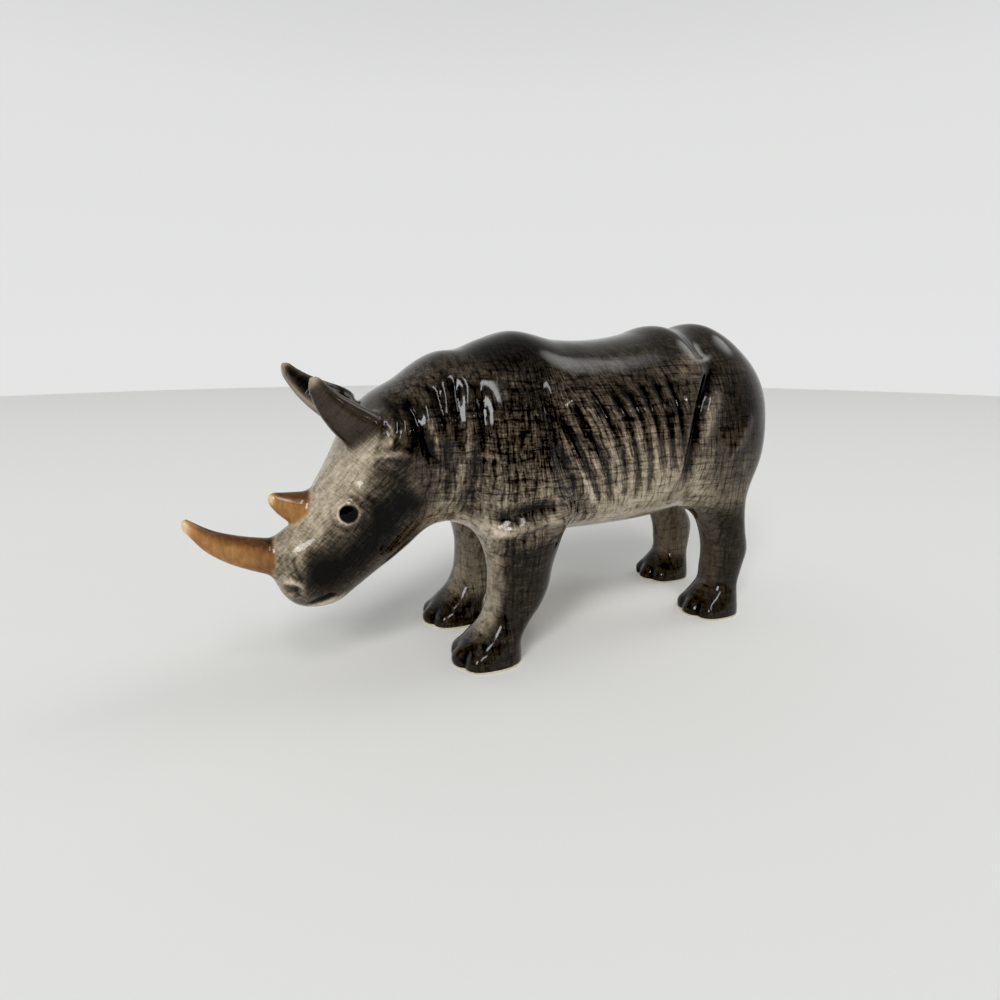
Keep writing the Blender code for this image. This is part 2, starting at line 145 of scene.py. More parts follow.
def uneven(points: Array, size: float, seed: int) -> Array:
    """Smooth random heights, the same at each run.

    The space is cut into cubes of the given size, each corner gets a random height, and a
    point's height blends its cube's eight corners by smooth steps of its place between them.

    Args:
        points: the places, one row each.
        size: the cubes' edge.
        seed: the seed of the random heights.

    Returns:
        A height from -1 to 1 for each point.
    """
    count = 32
    lattice = np.random.default_rng(seed).uniform(-1, 1, (count, count, count))
    place = points / size
    cell = np.floor(place).astype(int)
    share = place - cell
    share = share * share * (3 - 2 * share)
    total = np.zeros(len(points))
    for corner in np.ndindex(2, 2, 2):
        index = (cell + np.array(corner)) % count
        weight = np.prod(np.where(corner, share, 1 - share), axis=1)
        total += weight * lattice[index[:, 0], index[:, 1], index[:, 2]]
    return total


def relaxed(points: Array, edges: Array, rounds: int = 4) -> Array:
    """Evens out a mesh: in each round a point moves halfway to the middle of its neighbours.

    Args:
        points: the mesh's points.
        edges: its edges, one row of two point numbers each.
        rounds: how many times the points move.

    Returns:
        The moved points.
    """
    ends, others = edges.T.ravel(), edges[:, ::-1].T.ravel()
    count = np.bincount(ends, minlength=len(points))
    for _ in range(rounds):
        middle = np.stack(
            [np.bincount(ends, weights=points[others, i], minlength=len(points)) / count for i in range(3)],
            axis=1,
        )
        points = (points + middle) / 2
    return points


def rows_of(items: bpy.types.bpy_prop_collection, name: str) -> Array:
    """The vectors of a mesh's items, such as each point's place, one row each."""
    values = np.empty(3 * len(items))
    items.foreach_get(name, values)
    return values.reshape(-1, 3)


def in_scene(name: str, data: bpy.types.ID) -> bpy.types.Object:
    """A new object with the given data, linked to the scene."""
    item = bpy.data.objects.new(name, data)
    bpy.context.scene.collection.objects.link(item)
    return item


# Forms, folds and washes


@dataclass(frozen=True)
class Form:
    """One mass of the body, in parts: a loft along a line with rounded ends.

    Each station is (at, low, wide, high, half, lean): how far along the line it is, its
    lowest, widest and highest line, its half breadth, and how far it leans to the side.
    """

    origin: Place
    along: Place
    up: Place
    stations: Rows
    caps: Flat = (2.0, 2.0)
    square: float = 2.0
    blend: float = 4.0

    def axes(self) -> tuple[Array, Array, Array]:
        """The line's own directions: along it, up and to the side."""
        along = unit(self.along)
        up = np.asarray(self.up, float)
        up = unit(up - (up @ along) * along)
        return along, up, np.cross(along, up)

    def placed(self, points: Array) -> tuple[Array, Array, Array]:
        """Each point's place along the line, up from it and to its side."""
        along, up, side = self.axes()
        offset = points - np.asarray(self.origin, float)
        return offset @ along, offset @ up, offset @ side

    def section(self, at: Array) -> list[Array]:
        """The section's low, wide, high, half and lean at each place along the line."""
        table = np.array(self.stations)
        return [curve(at, table[:, 0], table[:, i]) for i in range(1, 6)]

    def cap_share(self, at: Array) -> tuple[Array, Array]:
        """How deep each place lies in an end's rounding, as a share and as a length."""
        first, last = self.stations[0][0], self.stations[-1][0]
        start, end = self.caps
        into_start = np.maximum(first + start - at, 0)
        into_end = np.maximum(at - last + end, 0)
        return into_start / start + into_end / end, into_start + into_end

    def distance(self, points: Array) -> Array:
        """Measures how far points are outside the form.

        A section is a rounded oval: |u / reach|^n + |v / half|^n = 1, and at an end it
        shrinks as the square root of 1 - share^2. The distance is the ray from the middle
        line less the same ray up to that skin.

        Args:
            points: the points, one row each.

        Returns:
            The distance of each, below 0 inside.
        """
        at, u, v = self.placed(points)
        held = np.clip(at, self.stations[0][0], self.stations[-1][0])
        low, wide, high, half, lean = self.section(held)
        u, v = u - wide, v - lean
        reach = np.where(u > 0, high - wide, wide - low)
        share, depth = self.cap_share(at)
        n = self.square
        flat = (np.abs(u / reach) ** n + np.abs(v / half) ** n) ** (2 / n)
        level = np.sqrt(flat + share**2)
        ray = np.sqrt(u**2 + v**2 + depth**2)
        return ray - ray / np.maximum(level, 1e-6)

    def loft(self, rings: int = 44, around: int = 40, cap_rings: int = 8) -> tuple[Array, Array]:
        """Lofts the form's closed skin.

        A ring's point at angle a stands at reach * sin(a)^(2/n) up and half * cos(a)^(2/n)
        to the side, with the signs kept. The rings are the rows of a grid and a fan of
        triangles closes each end on a pole.

        Args:
            rings: how many rings lie between the rounded ends.
            around: how many points a ring has.
            cap_rings: how many rings each rounded end has.

        Returns:
            The points, and the triangles as rows of three places among them.
        """
        first, last = self.stations[0][0], self.stations[-1][0]
        start, end = self.caps
        turn = np.linspace(0, np.pi / 2, cap_rings + 1)[1:]
        at = np.concatenate(
            [
                first + start * (1 - np.cos(turn)),
                np.linspace(first + start, last - end, rings)[1:-1],
                last - end * (1 - np.cos(turn[::-1])),
            ]
        )
        shrink = np.sqrt(np.maximum(1 - self.cap_share(at)[0] ** 2, 0))
        low, wide, high, half, lean = self.section(at)
        angle = np.linspace(0, 2 * np.pi, around, endpoint=False)
        c, s = np.cos(angle), np.sin(angle)
        n = 2 / self.square
        across, upward = np.sign(c) * np.abs(c) ** n, np.sign(s) * np.abs(s) ** n
        reach = np.where(upward > 0, (high - wide)[:, None], (wide - low)[:, None])
        u = wide[:, None] + shrink[:, None] * reach * upward
        v = lean[:, None] + shrink[:, None] * half[:, None] * across
        along, up, side = self.axes()
        grid = np.asarray(self.origin) + at[:, None, None] * along + u[..., None] * up + v[..., None] * side
        ends = np.array([first, last])
        _, middle, _, _, tilt = self.section(ends)
        poles = np.asarray(self.origin) + ends[:, None] * along + middle[:, None] * up + tilt[:, None] * side
        return np.concatenate([grid.reshape(-1, 3), poles]), tube_faces(len(at), around)


def tube_faces(rows: int, around: int) -> Array:
    """Joins a tube's grid of points into triangles.

    Point (i, j) has the number i * around + j. Each cell of the grid gives two triangles,
    and the last two points are the poles that close the first and the last row.

    Args:
        rows: how many rings the tube has.
        around: how many points each has.

    Returns:
        The triangles, one row of three point numbers each.
    """
    i, j = np.meshgrid(np.arange(rows - 1), np.arange(around), indexing="ij")
    k = (j + 1) % around
    a, b, c, d = i * around + j, (i + 1) * around + j, (i + 1) * around + k, i * around + k
    walls = np.stack([a, b, c, a, c, d], axis=-1).reshape(-1, 3)
    j = np.arange(around)
    k = (j + 1) % around
    last = (rows - 1) * around
    first_fan = np.stack([np.full(around, rows * around), j, k], axis=1)
    last_fan = np.stack([np.full(around, rows * around + 1), last + k, last + j], axis=1)
    return np.concatenate([walls, first_fan, last_fan])


@dataclass(frozen=True)
class Fold:
    """A furrow with the paint that lies in it, or a ridge where its depth is below 0.

    Its line is a smooth curve through points of the side view, in parts. Across the line
    both the cut and the paint fall off as a bell, exp(-(away / width)^2), and along it they
    run out near both ends. A pinched furrow's cut falls off as exp(-away / (share * width))
    instead, with a rounded bottom, so the skin swells as a round roll right up to it. Where
    the paint's value is below 0 the line is paler, and on some of the haunch's ridges that
    pale line is a painted highlight.
    """

    line: Line
    width: float
    depth: float
    # How dark the paint in the fold is; below 0 it is pale paint, with painted highlights on some of the
    # haunch's ridges
    ink_and_highlight: float = 0.0
    run_out: float = 0.2
    ink_width: float = 1.0
    pinched: bool = False

    def drawn(self) -> Array:
        """The line's smooth curve, as close points."""
        knots = np.array(self.line, float)
        if len(knots) < 3:
            return knots
        place = np.arange(len(knots))
        fine = np.linspace(0, len(knots) - 1, 6 * len(knots))
        return np.stack([curve(fine, place, knots[:, 0]), curve(fine, place, knots[:, 1])], axis=1)

    def measure(self, points: Array) -> tuple[Array, Array]:
        """Each point's squared distance from the line in the side view, and its share along it."""
        drawn = self.drawn()
        flat = points[:, SIDE_VIEW]
        reach = FOLD_REACH * self.width * max(self.ink_width, 1.0)
        close = ((flat > drawn.min(axis=0) - reach) & (flat < drawn.max(axis=0) + reach)).all(axis=1)
        here = flat[close]
        nearest, place = np.full(len(here), np.inf), np.zeros(len(here))
        for i, (start, end) in enumerate(zip(drawn, drawn[1:])):
            run = end - start
            share = np.clip(((here - start) @ run) / (run @ run), 0, 1)
            away = ((here - start - share[:, None] * run) ** 2).sum(1)
            place = np.where(away < nearest, (i + share) / (len(drawn) - 1), place)
            nearest = np.minimum(nearest, away)
        away, along = np.full(len(points), np.inf), np.zeros(len(points))
        away[close], along[close] = nearest, place
        return away, along

    def ends(self, along: Array) -> Array:
        """How much of the fold is left at each share along it, from 0 at its ends to 1."""
        if self.run_out <= 0:
            return np.ones(len(along))
        return ramp(np.minimum(along, 1 - along), 0, self.run_out)

    def cut(self, points: Array) -> Array:
        """How deep the fold cuts at each point."""
        away, along = self.measure(points)
        fall = -away / self.width**2
        if self.pinched:
            fall = (PINCH_ROUND - np.sqrt(away + PINCH_ROUND**2)) / (PINCH_WIDTH * self.width)
        return self.depth * self.ends(along) * np.exp(fall)

    def ink_and_highlight_at(self, points: Array) -> Array:
        """How much the fold's paint darkens each point; below 0 it pales the point, which on some of the
        haunch's ridges is a painted highlight.
        """
        away, along = self.measure(points)
        return self.ink_and_highlight * self.ends(along) * np.exp(-away / (self.width * self.ink_width) ** 2)


@dataclass(frozen=True)
class Wash:
    """A soft patch of paint in the side view: an oval, turned, that fades at its edge."""

    centre: Flat
    half: Flat
    turn: float
    tone: float

    def laid(self, points: Array) -> Array:
        """How much the wash darkens each point: tone * exp(-r^4), with r the oval's radius."""
        angle = np.radians(self.turn)
        x, z = points[:, 0] - self.centre[0], points[:, 2] - self.centre[1]
        a = (x * np.cos(angle) + z * np.sin(angle)) / self.half[0]
        b = (z * np.cos(angle) - x * np.sin(angle)) / self.half[1]
        return self.tone * np.exp(-((a * a + b * b) ** 2))


def ring(x: float, z: float, radius: float, rise: float, turn: float) -> Line:
    """A closed oval line, taller than wide by rise, and leaning by turn degrees."""
    t = np.linspace(0, 2 * np.pi, 13)
    a, b = radius * np.cos(t), radius * rise * np.sin(t)
    lean = np.radians(turn)
    return tuple(zip(x + a * np.cos(lean) - b * np.sin(lean), z + a * np.sin(lean) + b * np.cos(lean)))


def shifted(line: Line, x: float, z: float) -> Line:
    """The line moved by x and z."""
    return tuple((a + x, b + z) for a, b in line)


def folded(rows: tuple[tuple, ...], pinched: bool = False) -> tuple[Fold, ...]:
    """Folds from rows of (line, width, depth, ink); the last is how dark their paint is, with painted
    highlights on some ridges.
    """
    return tuple(Fold(*row, pinched=pinched) for row in rows)


# The trunk's folds, in rows of (line, width, depth, ink); the last is how dark their paint is, and below 0
# pale paint, with painted highlights on some of the haunch's ridges

# The rolls of skin on the neck, one furrow before each
NECK_ROLLS = (
    (((-10.6, 37.0), (-10.2, 34.1), (-9.9, 32.2), (-9.1, 30.2), (-8.2, 27.5)), 1.10, 0.60, 0.28),
    (((-7.0, 38.9), (-7.3, 36.0), (-7.2, 33.5), (-6.9, 31.0), (-7.0, 25.5)), 1.15, 0.75, 0.30),
    (((-4.5, 39.7), (-5.1, 36.6), (-5.3, 31.0), (-6.1, 26.0), (-5.9, 22.0)), 1.15, 0.85, 0.32),
    (((-1.9, 39.6), (-2.2, 33.6), (-2.5, 30.9), (-3.5, 25.0), (-3.8, 20.0)), 1.25, 1.00, 0.28),
)

# Pale strokes of paint on the rolls
NECK_LIGHTS = (
    (((-8.9, 34.2), (-8.7, 32.6), (-8.1, 31.0), (-7.9, 28.5)), 0.35, 0.0, -0.28),
    (((-6.7, 34.5), (-6.1, 31.8), (-5.8, 29.5), (-6.4, 27.0)), 0.35, 0.0, -0.22),
    (((-4.3, 34.0), (-4.1, 31.5), (-4.6, 29.0), (-5.4, 26.0), (-5.4, 22.5)), 0.45, 0.0, -0.26),
    (((-1.2, 33.0), (-1.5, 30.0), (-2.2, 27.0), (-3.0, 23.5)), 0.5, 0.0, -0.20),
)

# Wrinkles between the neck and the ear and cheek
WRINKLES = (
    (((-13.3, 36.7), (-12.7, 35.6), (-12.6, 33.7), (-13.2, 31.2), (-14.1, 29.1)), 0.35, 0.22, 0.20),
    (((-12.0, 37.2), (-11.0, 35.7), (-10.8, 33.2), (-11.3, 30.3), (-12.1, 27.7)), 0.40, 0.30, 0.20),
    (((-14.4, 35.7), (-14.4, 33.3), (-14.9, 31.2), (-15.9, 29.4)), 0.32, 0.18, 0.20),
    (((-15.9, 28.8), (-14.1, 29.3), (-11.7, 28.6)), 0.35, 0.20, 0.20),
    (((-15.5, 29.9), (-13.7, 30.8), (-10.8, 30.3)), 0.35, 0.20, 0.18),
    (((-15.3, 26.4), (-13.2, 24.9), (-11.1, 22.1)), 0.5, 0.22, 0.16),
    (((-10.8, 33.5), (-9.4, 30.5), (-8.8, 27.0), (-9.0, 23.5), (-9.8, 20.5)), 1.4, 0.25, 0.22),
    (((-13.6, 33.6), (-13.4, 32.2), (-13.9, 30.4)), 0.25, -0.10, -0.25),
    (((-14.6, 29.6), (-12.8, 30.0), (-11.0, 29.5)), 0.25, -0.10, -0.22),
)

# The furrow behind the shoulder and the folds over the fore leg
SHOULDER_FOLDS = (
    (((6.6, 41.0), (5.9, 36.5), (7.2, 31.0), (8.3, 26.0), (11.0, 22.0), (13.6, 18.8)), 1.0, 0.60, 0.10),
    (((7.4, 30.5), (9.3, 26.2), (11.8, 22.6), (14.0, 19.6)), 0.7, 0.35, 0.12),
    (((10.4, 26.8), (12.4, 23.9), (14.6, 20.8)), 0.35, -0.10, -0.30),
    (((-1.6, 21.0), (0.6, 21.3), (3.4, 22.1), (7.5, 22.2)), 1.1, 0.60, 0.10),
    (((-1.3, 21.1), (-0.3, 21.2), (0.9, 21.3)), 0.5, 0.0, 0.20),
    (((1.2, 22.0), (3.4, 22.3), (6.6, 22.2)), 0.3, 0.0, 0.12),
    (((-1.6, 22.6), (0.4, 23.2), (2.8, 23.7), (6.8, 23.6)), 0.4, -0.20, -0.10),
    (((-2.4, 19.6), (-0.6, 19.2), (1.5, 19.7), (5.6, 20.4), (9.8, 20.4)), 0.8, -0.50, -0.18),
    (((-1.6, 17.7), (1.5, 18.3), (3.9, 19.0), (6.4, 19.2), (9.2, 19.0)), 0.6, 0.45, 0.12),
    (((11.2, 21.4), (12.2, 19.6), (12.4, 17.6)), 0.3, 0.25, 0.30),
    (((12.4, 21.8), (13.5, 19.8), (13.8, 17.4)), 0.32, 0.32, 0.35),
    (((13.8, 21.6), (15.0, 19.6), (15.4, 17.6)), 0.3, 0.22, 0.30),
    (((-3.9, 22.6), (-2.9, 21.0), (-2.9, 19.0)), 0.4, 0.30, 0.25),
    (((-5.4, 21.2), (-4.3, 20.0), (-4.0, 18.6)), 0.35, 0.22, 0.20),
)

# The deep furrow before the thigh and the haunch's folds, with pale lines of painted highlight along the
# thigh's ridge and the haunch's veins
HAUNCH_FOLDS = (
    (((36.2, 40.5), (33.3, 37.4), (31.2, 34.0), (29.8, 29.6), (29.2, 25.5), (29.6, 20.5)), 0.85, 0.90, 0.45),
    # The ridge before the thigh, with a pale line of painted highlight along it
    (((34.8, 36.5), (32.8, 33.0), (31.4, 29.5)), 1.1, -0.45, -0.20),
    # The haunch's veins: low ridges with pale lines of painted highlight along them
    (((41.4, 32.9), (40.0, 30.7), (38.4, 28.4), (36.8, 26.2)), 0.8, -0.25, -0.05),
    (((41.4, 32.9), (40.0, 30.7), (38.4, 28.4), (36.8, 26.2), (35.6, 22.4)), 0.3, 0.0, -0.14),
    (((40.5, 26.9), (39.8, 25.5), (39.9, 24.0)), 0.4, -0.10, -0.12),
    (((34.2, 45.5), (33.9, 43.0), (34.4, 40.5)), 1.2, 0.30, 0.05),
    (((28.4, 24.5), (27.6, 21.5), (28.4, 19.0)), 0.4, 0.18, 0.15),
    (((30.6, 23.5), (31.6, 20.5), (34.0, 18.2)), 0.5, 0.25, 0.15),
)


# Sub-assemblies


@dataclass
class Trunk:
    """The trunk and neck, with the ribs, the shoulder's and haunch's folds and their paint."""

    stations: Rows = (
        (-17.0, 25.5, 30.5, 34.0, 7.0, 0),
        (-13.5, 24.4, 30.5, 36.0, 8.2, 0),
        (-10.0, 23.0, 30.5, 38.1, 9.1, 0),
        (-7.5, 21.6, 30.0, 40.2, 9.8, 0),
        (-4.5, 19.8, 29.0, 41.8, 10.5, 0),
        (-1.0, 17.7, 28.6, 42.3, 11.3, 0),
        (2.5, 16.6, 28.3, 43.6, 12.0, 0),
        (6.0, 16.1, 28.0, 44.6, 12.5, 0),
        (13.0, 15.7, 28.0, 43.5, 13.1, 0),
        (21.0, 15.6, 28.0, 43.5, 13.4, 0),
        (27.0, 15.8, 28.0, 44.4, 13.5, 0),
        (31.5, 16.4, 28.5, 45.6, 13.3, 0),
        (35.0, 17.0, 29.0, 45.0, 13.0, 0),
        (39.5, 18.6, 30.5, 46.0, 12.2, 0),
        (44.5, 20.7, 32.5, 44.0, 11.2, 0),
        (51.8, 25.0, 34.0, 41.6, 10.2, 0),
    )
    rib_lines: tuple[Line, ...] = (
        ((7.4, 34.8), (8.8, 32.2), (10.4, 29.3), (12.2, 26.3), (14.2, 23.0), (15.8, 20.4)),
        ((9.2, 36.2), (10.9, 33.2), (13.0, 29.8), (14.8, 26.4), (16.2, 23.0), (16.8, 20.8)),
        ((12.3, 37.6), (14.3, 34.6), (16.4, 30.9), (17.7, 27.0), (18.6, 23.2), (19.0, 21.2)),
        ((15.4, 37.9), (17.2, 35.0), (18.6, 31.4), (19.8, 27.5), (20.7, 23.0), (21.0, 21.4)),
        ((17.8, 38.2), (19.6, 35.4), (21.0, 31.7), (21.9, 27.8), (22.8, 23.0), (23.1, 21.6)),
        ((20.6, 38.7), (21.9, 35.9), (23.1, 32.5), (24.0, 28.1), (24.8, 23.5)),
        ((23.2, 38.8), (24.3, 36.0), (25.1, 32.7), (25.8, 28.8), (26.3, 24.4)),
        ((25.9, 39.2), (26.6, 36.4), (27.3, 33.0), (27.8, 29.2), (28.1, 26.0)),
    )
    rib_height: float = 27.0
    rib_lean: float = 8.6
    rib_straightens: float = 0.255

    def form(self) -> Form:
        """The trunk's one mass."""
        return Form((0, 0, 0), (1, 0, 0), (0, 0, 1), self.stations, (4.0, 10.0), 2.15)

    def ribs(self) -> tuple[Fold, ...]:
        """The furrows between the ribs, with dark paint in them."""
        return tuple(Fold(line, 0.62, 0.40, 0.42, ink_width=0.80, pinched=True) for line in self.rib_lines)

    def folds(self) -> tuple[Fold, ...]:
        """Every fold of the neck, shoulder, flank and haunch."""
        before_ribs = folded((*NECK_LIGHTS, *WRINKLES, *SHOULDER_FOLDS))
        return (*folded(NECK_ROLLS, pinched=True), *before_ribs, *self.ribs(), *folded(HAUNCH_FOLDS))

    def across_ribs(self, points: Array) -> Array:
        """The place at rib_height of the rib line that passes each point.

        A rib that stands at a leans forward by (rib_lean - rib_straightens * a) * bow, so
        a is (x + rib_lean * bow) / (1 + rib_straightens * bow).
        """
        above = (points[:, 2] - self.rib_height) / 10.0
        bow = above * (0.8 + 0.2 * above)
        return (points[:, 0] + self.rib_lean * bow) / (1 + self.rib_straightens * bow)

    def tone(self, points: Array) -> Array:
        """The trunk's paint, from pale at the belly to dark on the back."""
        heights = (14.0, 18.0, 22.0, 27.0, 33.0, 38.0, 42.0, 47.0)
        tones = (0.30, 0.20, 0.31, 0.45, 0.59, 0.70, 0.78, 0.82)
        washes = (
            Wash((20.5, 26.5), (7.0, 6.5), 0, -0.12),
            Wash((9.0, 24.6), (2.4, 7.0), 28, 0.14),
            Wash((3.0, 27.5), (4.5, 5.5), 0, 0.10),
            Wash((-6.0, 25.0), (4.0, 6.0), 0, 0.08),
            Wash((1.5, 29.0), (6.0, 10.0), 0, 0.10),
            Wash((6.2, 34.0), (2.0, 7.0), 8, 0.08),
            Wash((3.5, 21.4), (6.0, 1.9), 0, 0.30),
            Wash((-2.4, 19.6), (2.2, 1.8), 0, -0.16),
            Wash((40.5, 25.5), (7.5, 13.0), 0, 0.28),
            Wash((52.5, 24.5), (7.5, 13.0), 0, 0.30),
            Wash((31.0, 39.8), (2.6, 1.8), 20, -0.18),
            Wash((-6.5, 30.0), (4.0, 8.0), 0, -0.12),
            Wash((-10.0, 34.5), (4.0, 3.5), 0, 0.06),
            Wash((32.0, 20.5), (2.4, 3.4), -30, -0.10),
            Wash((4.0, 43.0), (6.0, 3.5), 0, 0.14),
        )
        return curve(points[:, 2], heights, tones) + sum(wash.laid(points) for wash in washes)


@dataclass
class Horn:
    """A horn: a curved cone that sags by a share of its length and ends in a blunt tip."""

    root: Place
    along: Place
    length: float
    thickness: float
    sag: float

    def form(self) -> Form:
        """The horn's mass."""
        girth = self.thickness / 2
        shares = (
            (0.00, 1.00, 0.00),
            (0.25, 0.93, -0.45),
            (0.50, 0.76, -0.85),
            (0.75, 0.53, -0.75),
            (0.90, 0.36, -0.25),
            (1.00, 0.26, 0.15),
        )
        stations = []
        for at, size, bow in shares:
            middle, half = bow * self.sag * self.length, size * girth
            stations.append((at * self.length, middle - half, middle, middle + half, half * 0.85, 0))
        return Form(self.root, self.along, (0, 0, 1), tuple(stations), (0.5, 0.7), 2.0, 1.2)

    def mask(self, points: Array) -> Array:
        """1 on the horn, 0 off it."""
        return 1 - ramp(self.form().distance(points), 0.05, 0.45)

    def tone(self, points: Array) -> Array:
        """The horn's amber paint: darker on top, at the base and just before the pale tip."""
        form = self.form()
        at, up, _ = form.placed(points)
        share = at / self.length
        middle = form.section(np.clip(at, 0, self.length))[1]
        half = 0.5 * self.thickness * (1 - 0.7 * np.clip(share, 0, 1))
        top = ramp((up - middle) / half, 0.2, 0.95)
        base = 1 - ramp(share, 0.15, 0.45)
        return 0.38 + 0.4 * top + 0.25 * base - 0.45 * ramp(share, 0.82, 1.0)


@dataclass
class Ear:
    """An ear: a pointed shell, hollowed by a cup that opens towards a given direction."""

    side: Side
    root: Place
    along: Place
    opening: Place
    length: float = 10.6
    breadth: float = 6.0
    depth: float = 4.0
    wall: float = 0.45
    back: float = 0.76
    pale_rim: float = 0.35
    pale_tip: float = 0.42
    pale_edge: float = 0.0

    def mirrored(self, direction: Place) -> Place:
        """The direction or place, moved to this ear's side."""
        return (direction[0], self.side.value * direction[1], direction[2])

    def forms(self) -> tuple[Form, Form]:
        """The ear's shell and the cup that is cut from it."""
        broad, deep = self.breadth / 2, self.depth / 2
        shares = (
            (0.00, 0.92, 0.0),
            (0.20, 0.90, -0.1),
            (0.42, 0.76, -0.4),
            (0.65, 0.56, -0.5),
            (0.85, 0.38, -0.2),
            (1.00, 0.26, 0.3),
        )
        place, line, mouth = (self.mirrored(item) for item in (self.root, self.along, self.opening))
        shell, cup = [], []
        for at, size, bow in shares:
            low, half, lean = deep * size, broad * size, self.side.value * bow
            shell.append((at * self.length, -low, 0, low, half, lean))
            if at > 0.1:
                floor, open_half = min(self.wall - low, -0.1), max(half - self.wall, 0.25)
                cup.append((at * self.length * 0.97, floor, 0.5 * low, 2.5 * low, open_half, lean))
        return (
            Form(place, line, mouth, tuple(shell), (1.0, 1.2), 2.0, 2.0),
            Form(place, line, mouth, tuple(cup), (1.6, 0.8), 2.0, 0.4),
        )

    def painted(self, points: Array, tone: Array) -> Array:
        """Paints the ear over a tone: black in the cup, and on its back pale at rim and tip.

        Where pale_edge is above 0, the edge that faces down is pale too.

        Args:
            points: the points to paint.
            tone: the tone that they have so far.

        Returns:
            The tone with the ear's own where a point is on the ear.
        """
        shell, cup = self.forms()
        outside, into_cup = shell.distance(points), cup.distance(points)
        at = shell.placed(points)[0] / self.length
        on_ear = (1 - ramp(outside, 0.3, 1.2)) * ramp(at, 0.02, 0.2)
        inside = ramp(-outside, 0.15, 0.45) * (1 - ramp(into_cup, 0.05, 0.3))
        rim = np.exp(-((into_cup / 0.35) ** 2)) * (1 - inside) * ramp(at, 0.15, 0.4)
        tip = ramp(at, 0.86, 0.98)
        down = unit(np.cross(self.mirrored(self.along), (0.0, 1.0, 0.0)))
        lower = ramp(shell.distance(points + 0.4 * down), 0.05, 0.3)
        edge = lower * ramp(at, 0.10, 0.3)
        paint = self.back - self.pale_rim * rim - self.pale_tip * tip - self.pale_edge * edge
        paint = paint * (1 - inside) + inside
        return tone * (1 - on_ear) + paint * on_ear


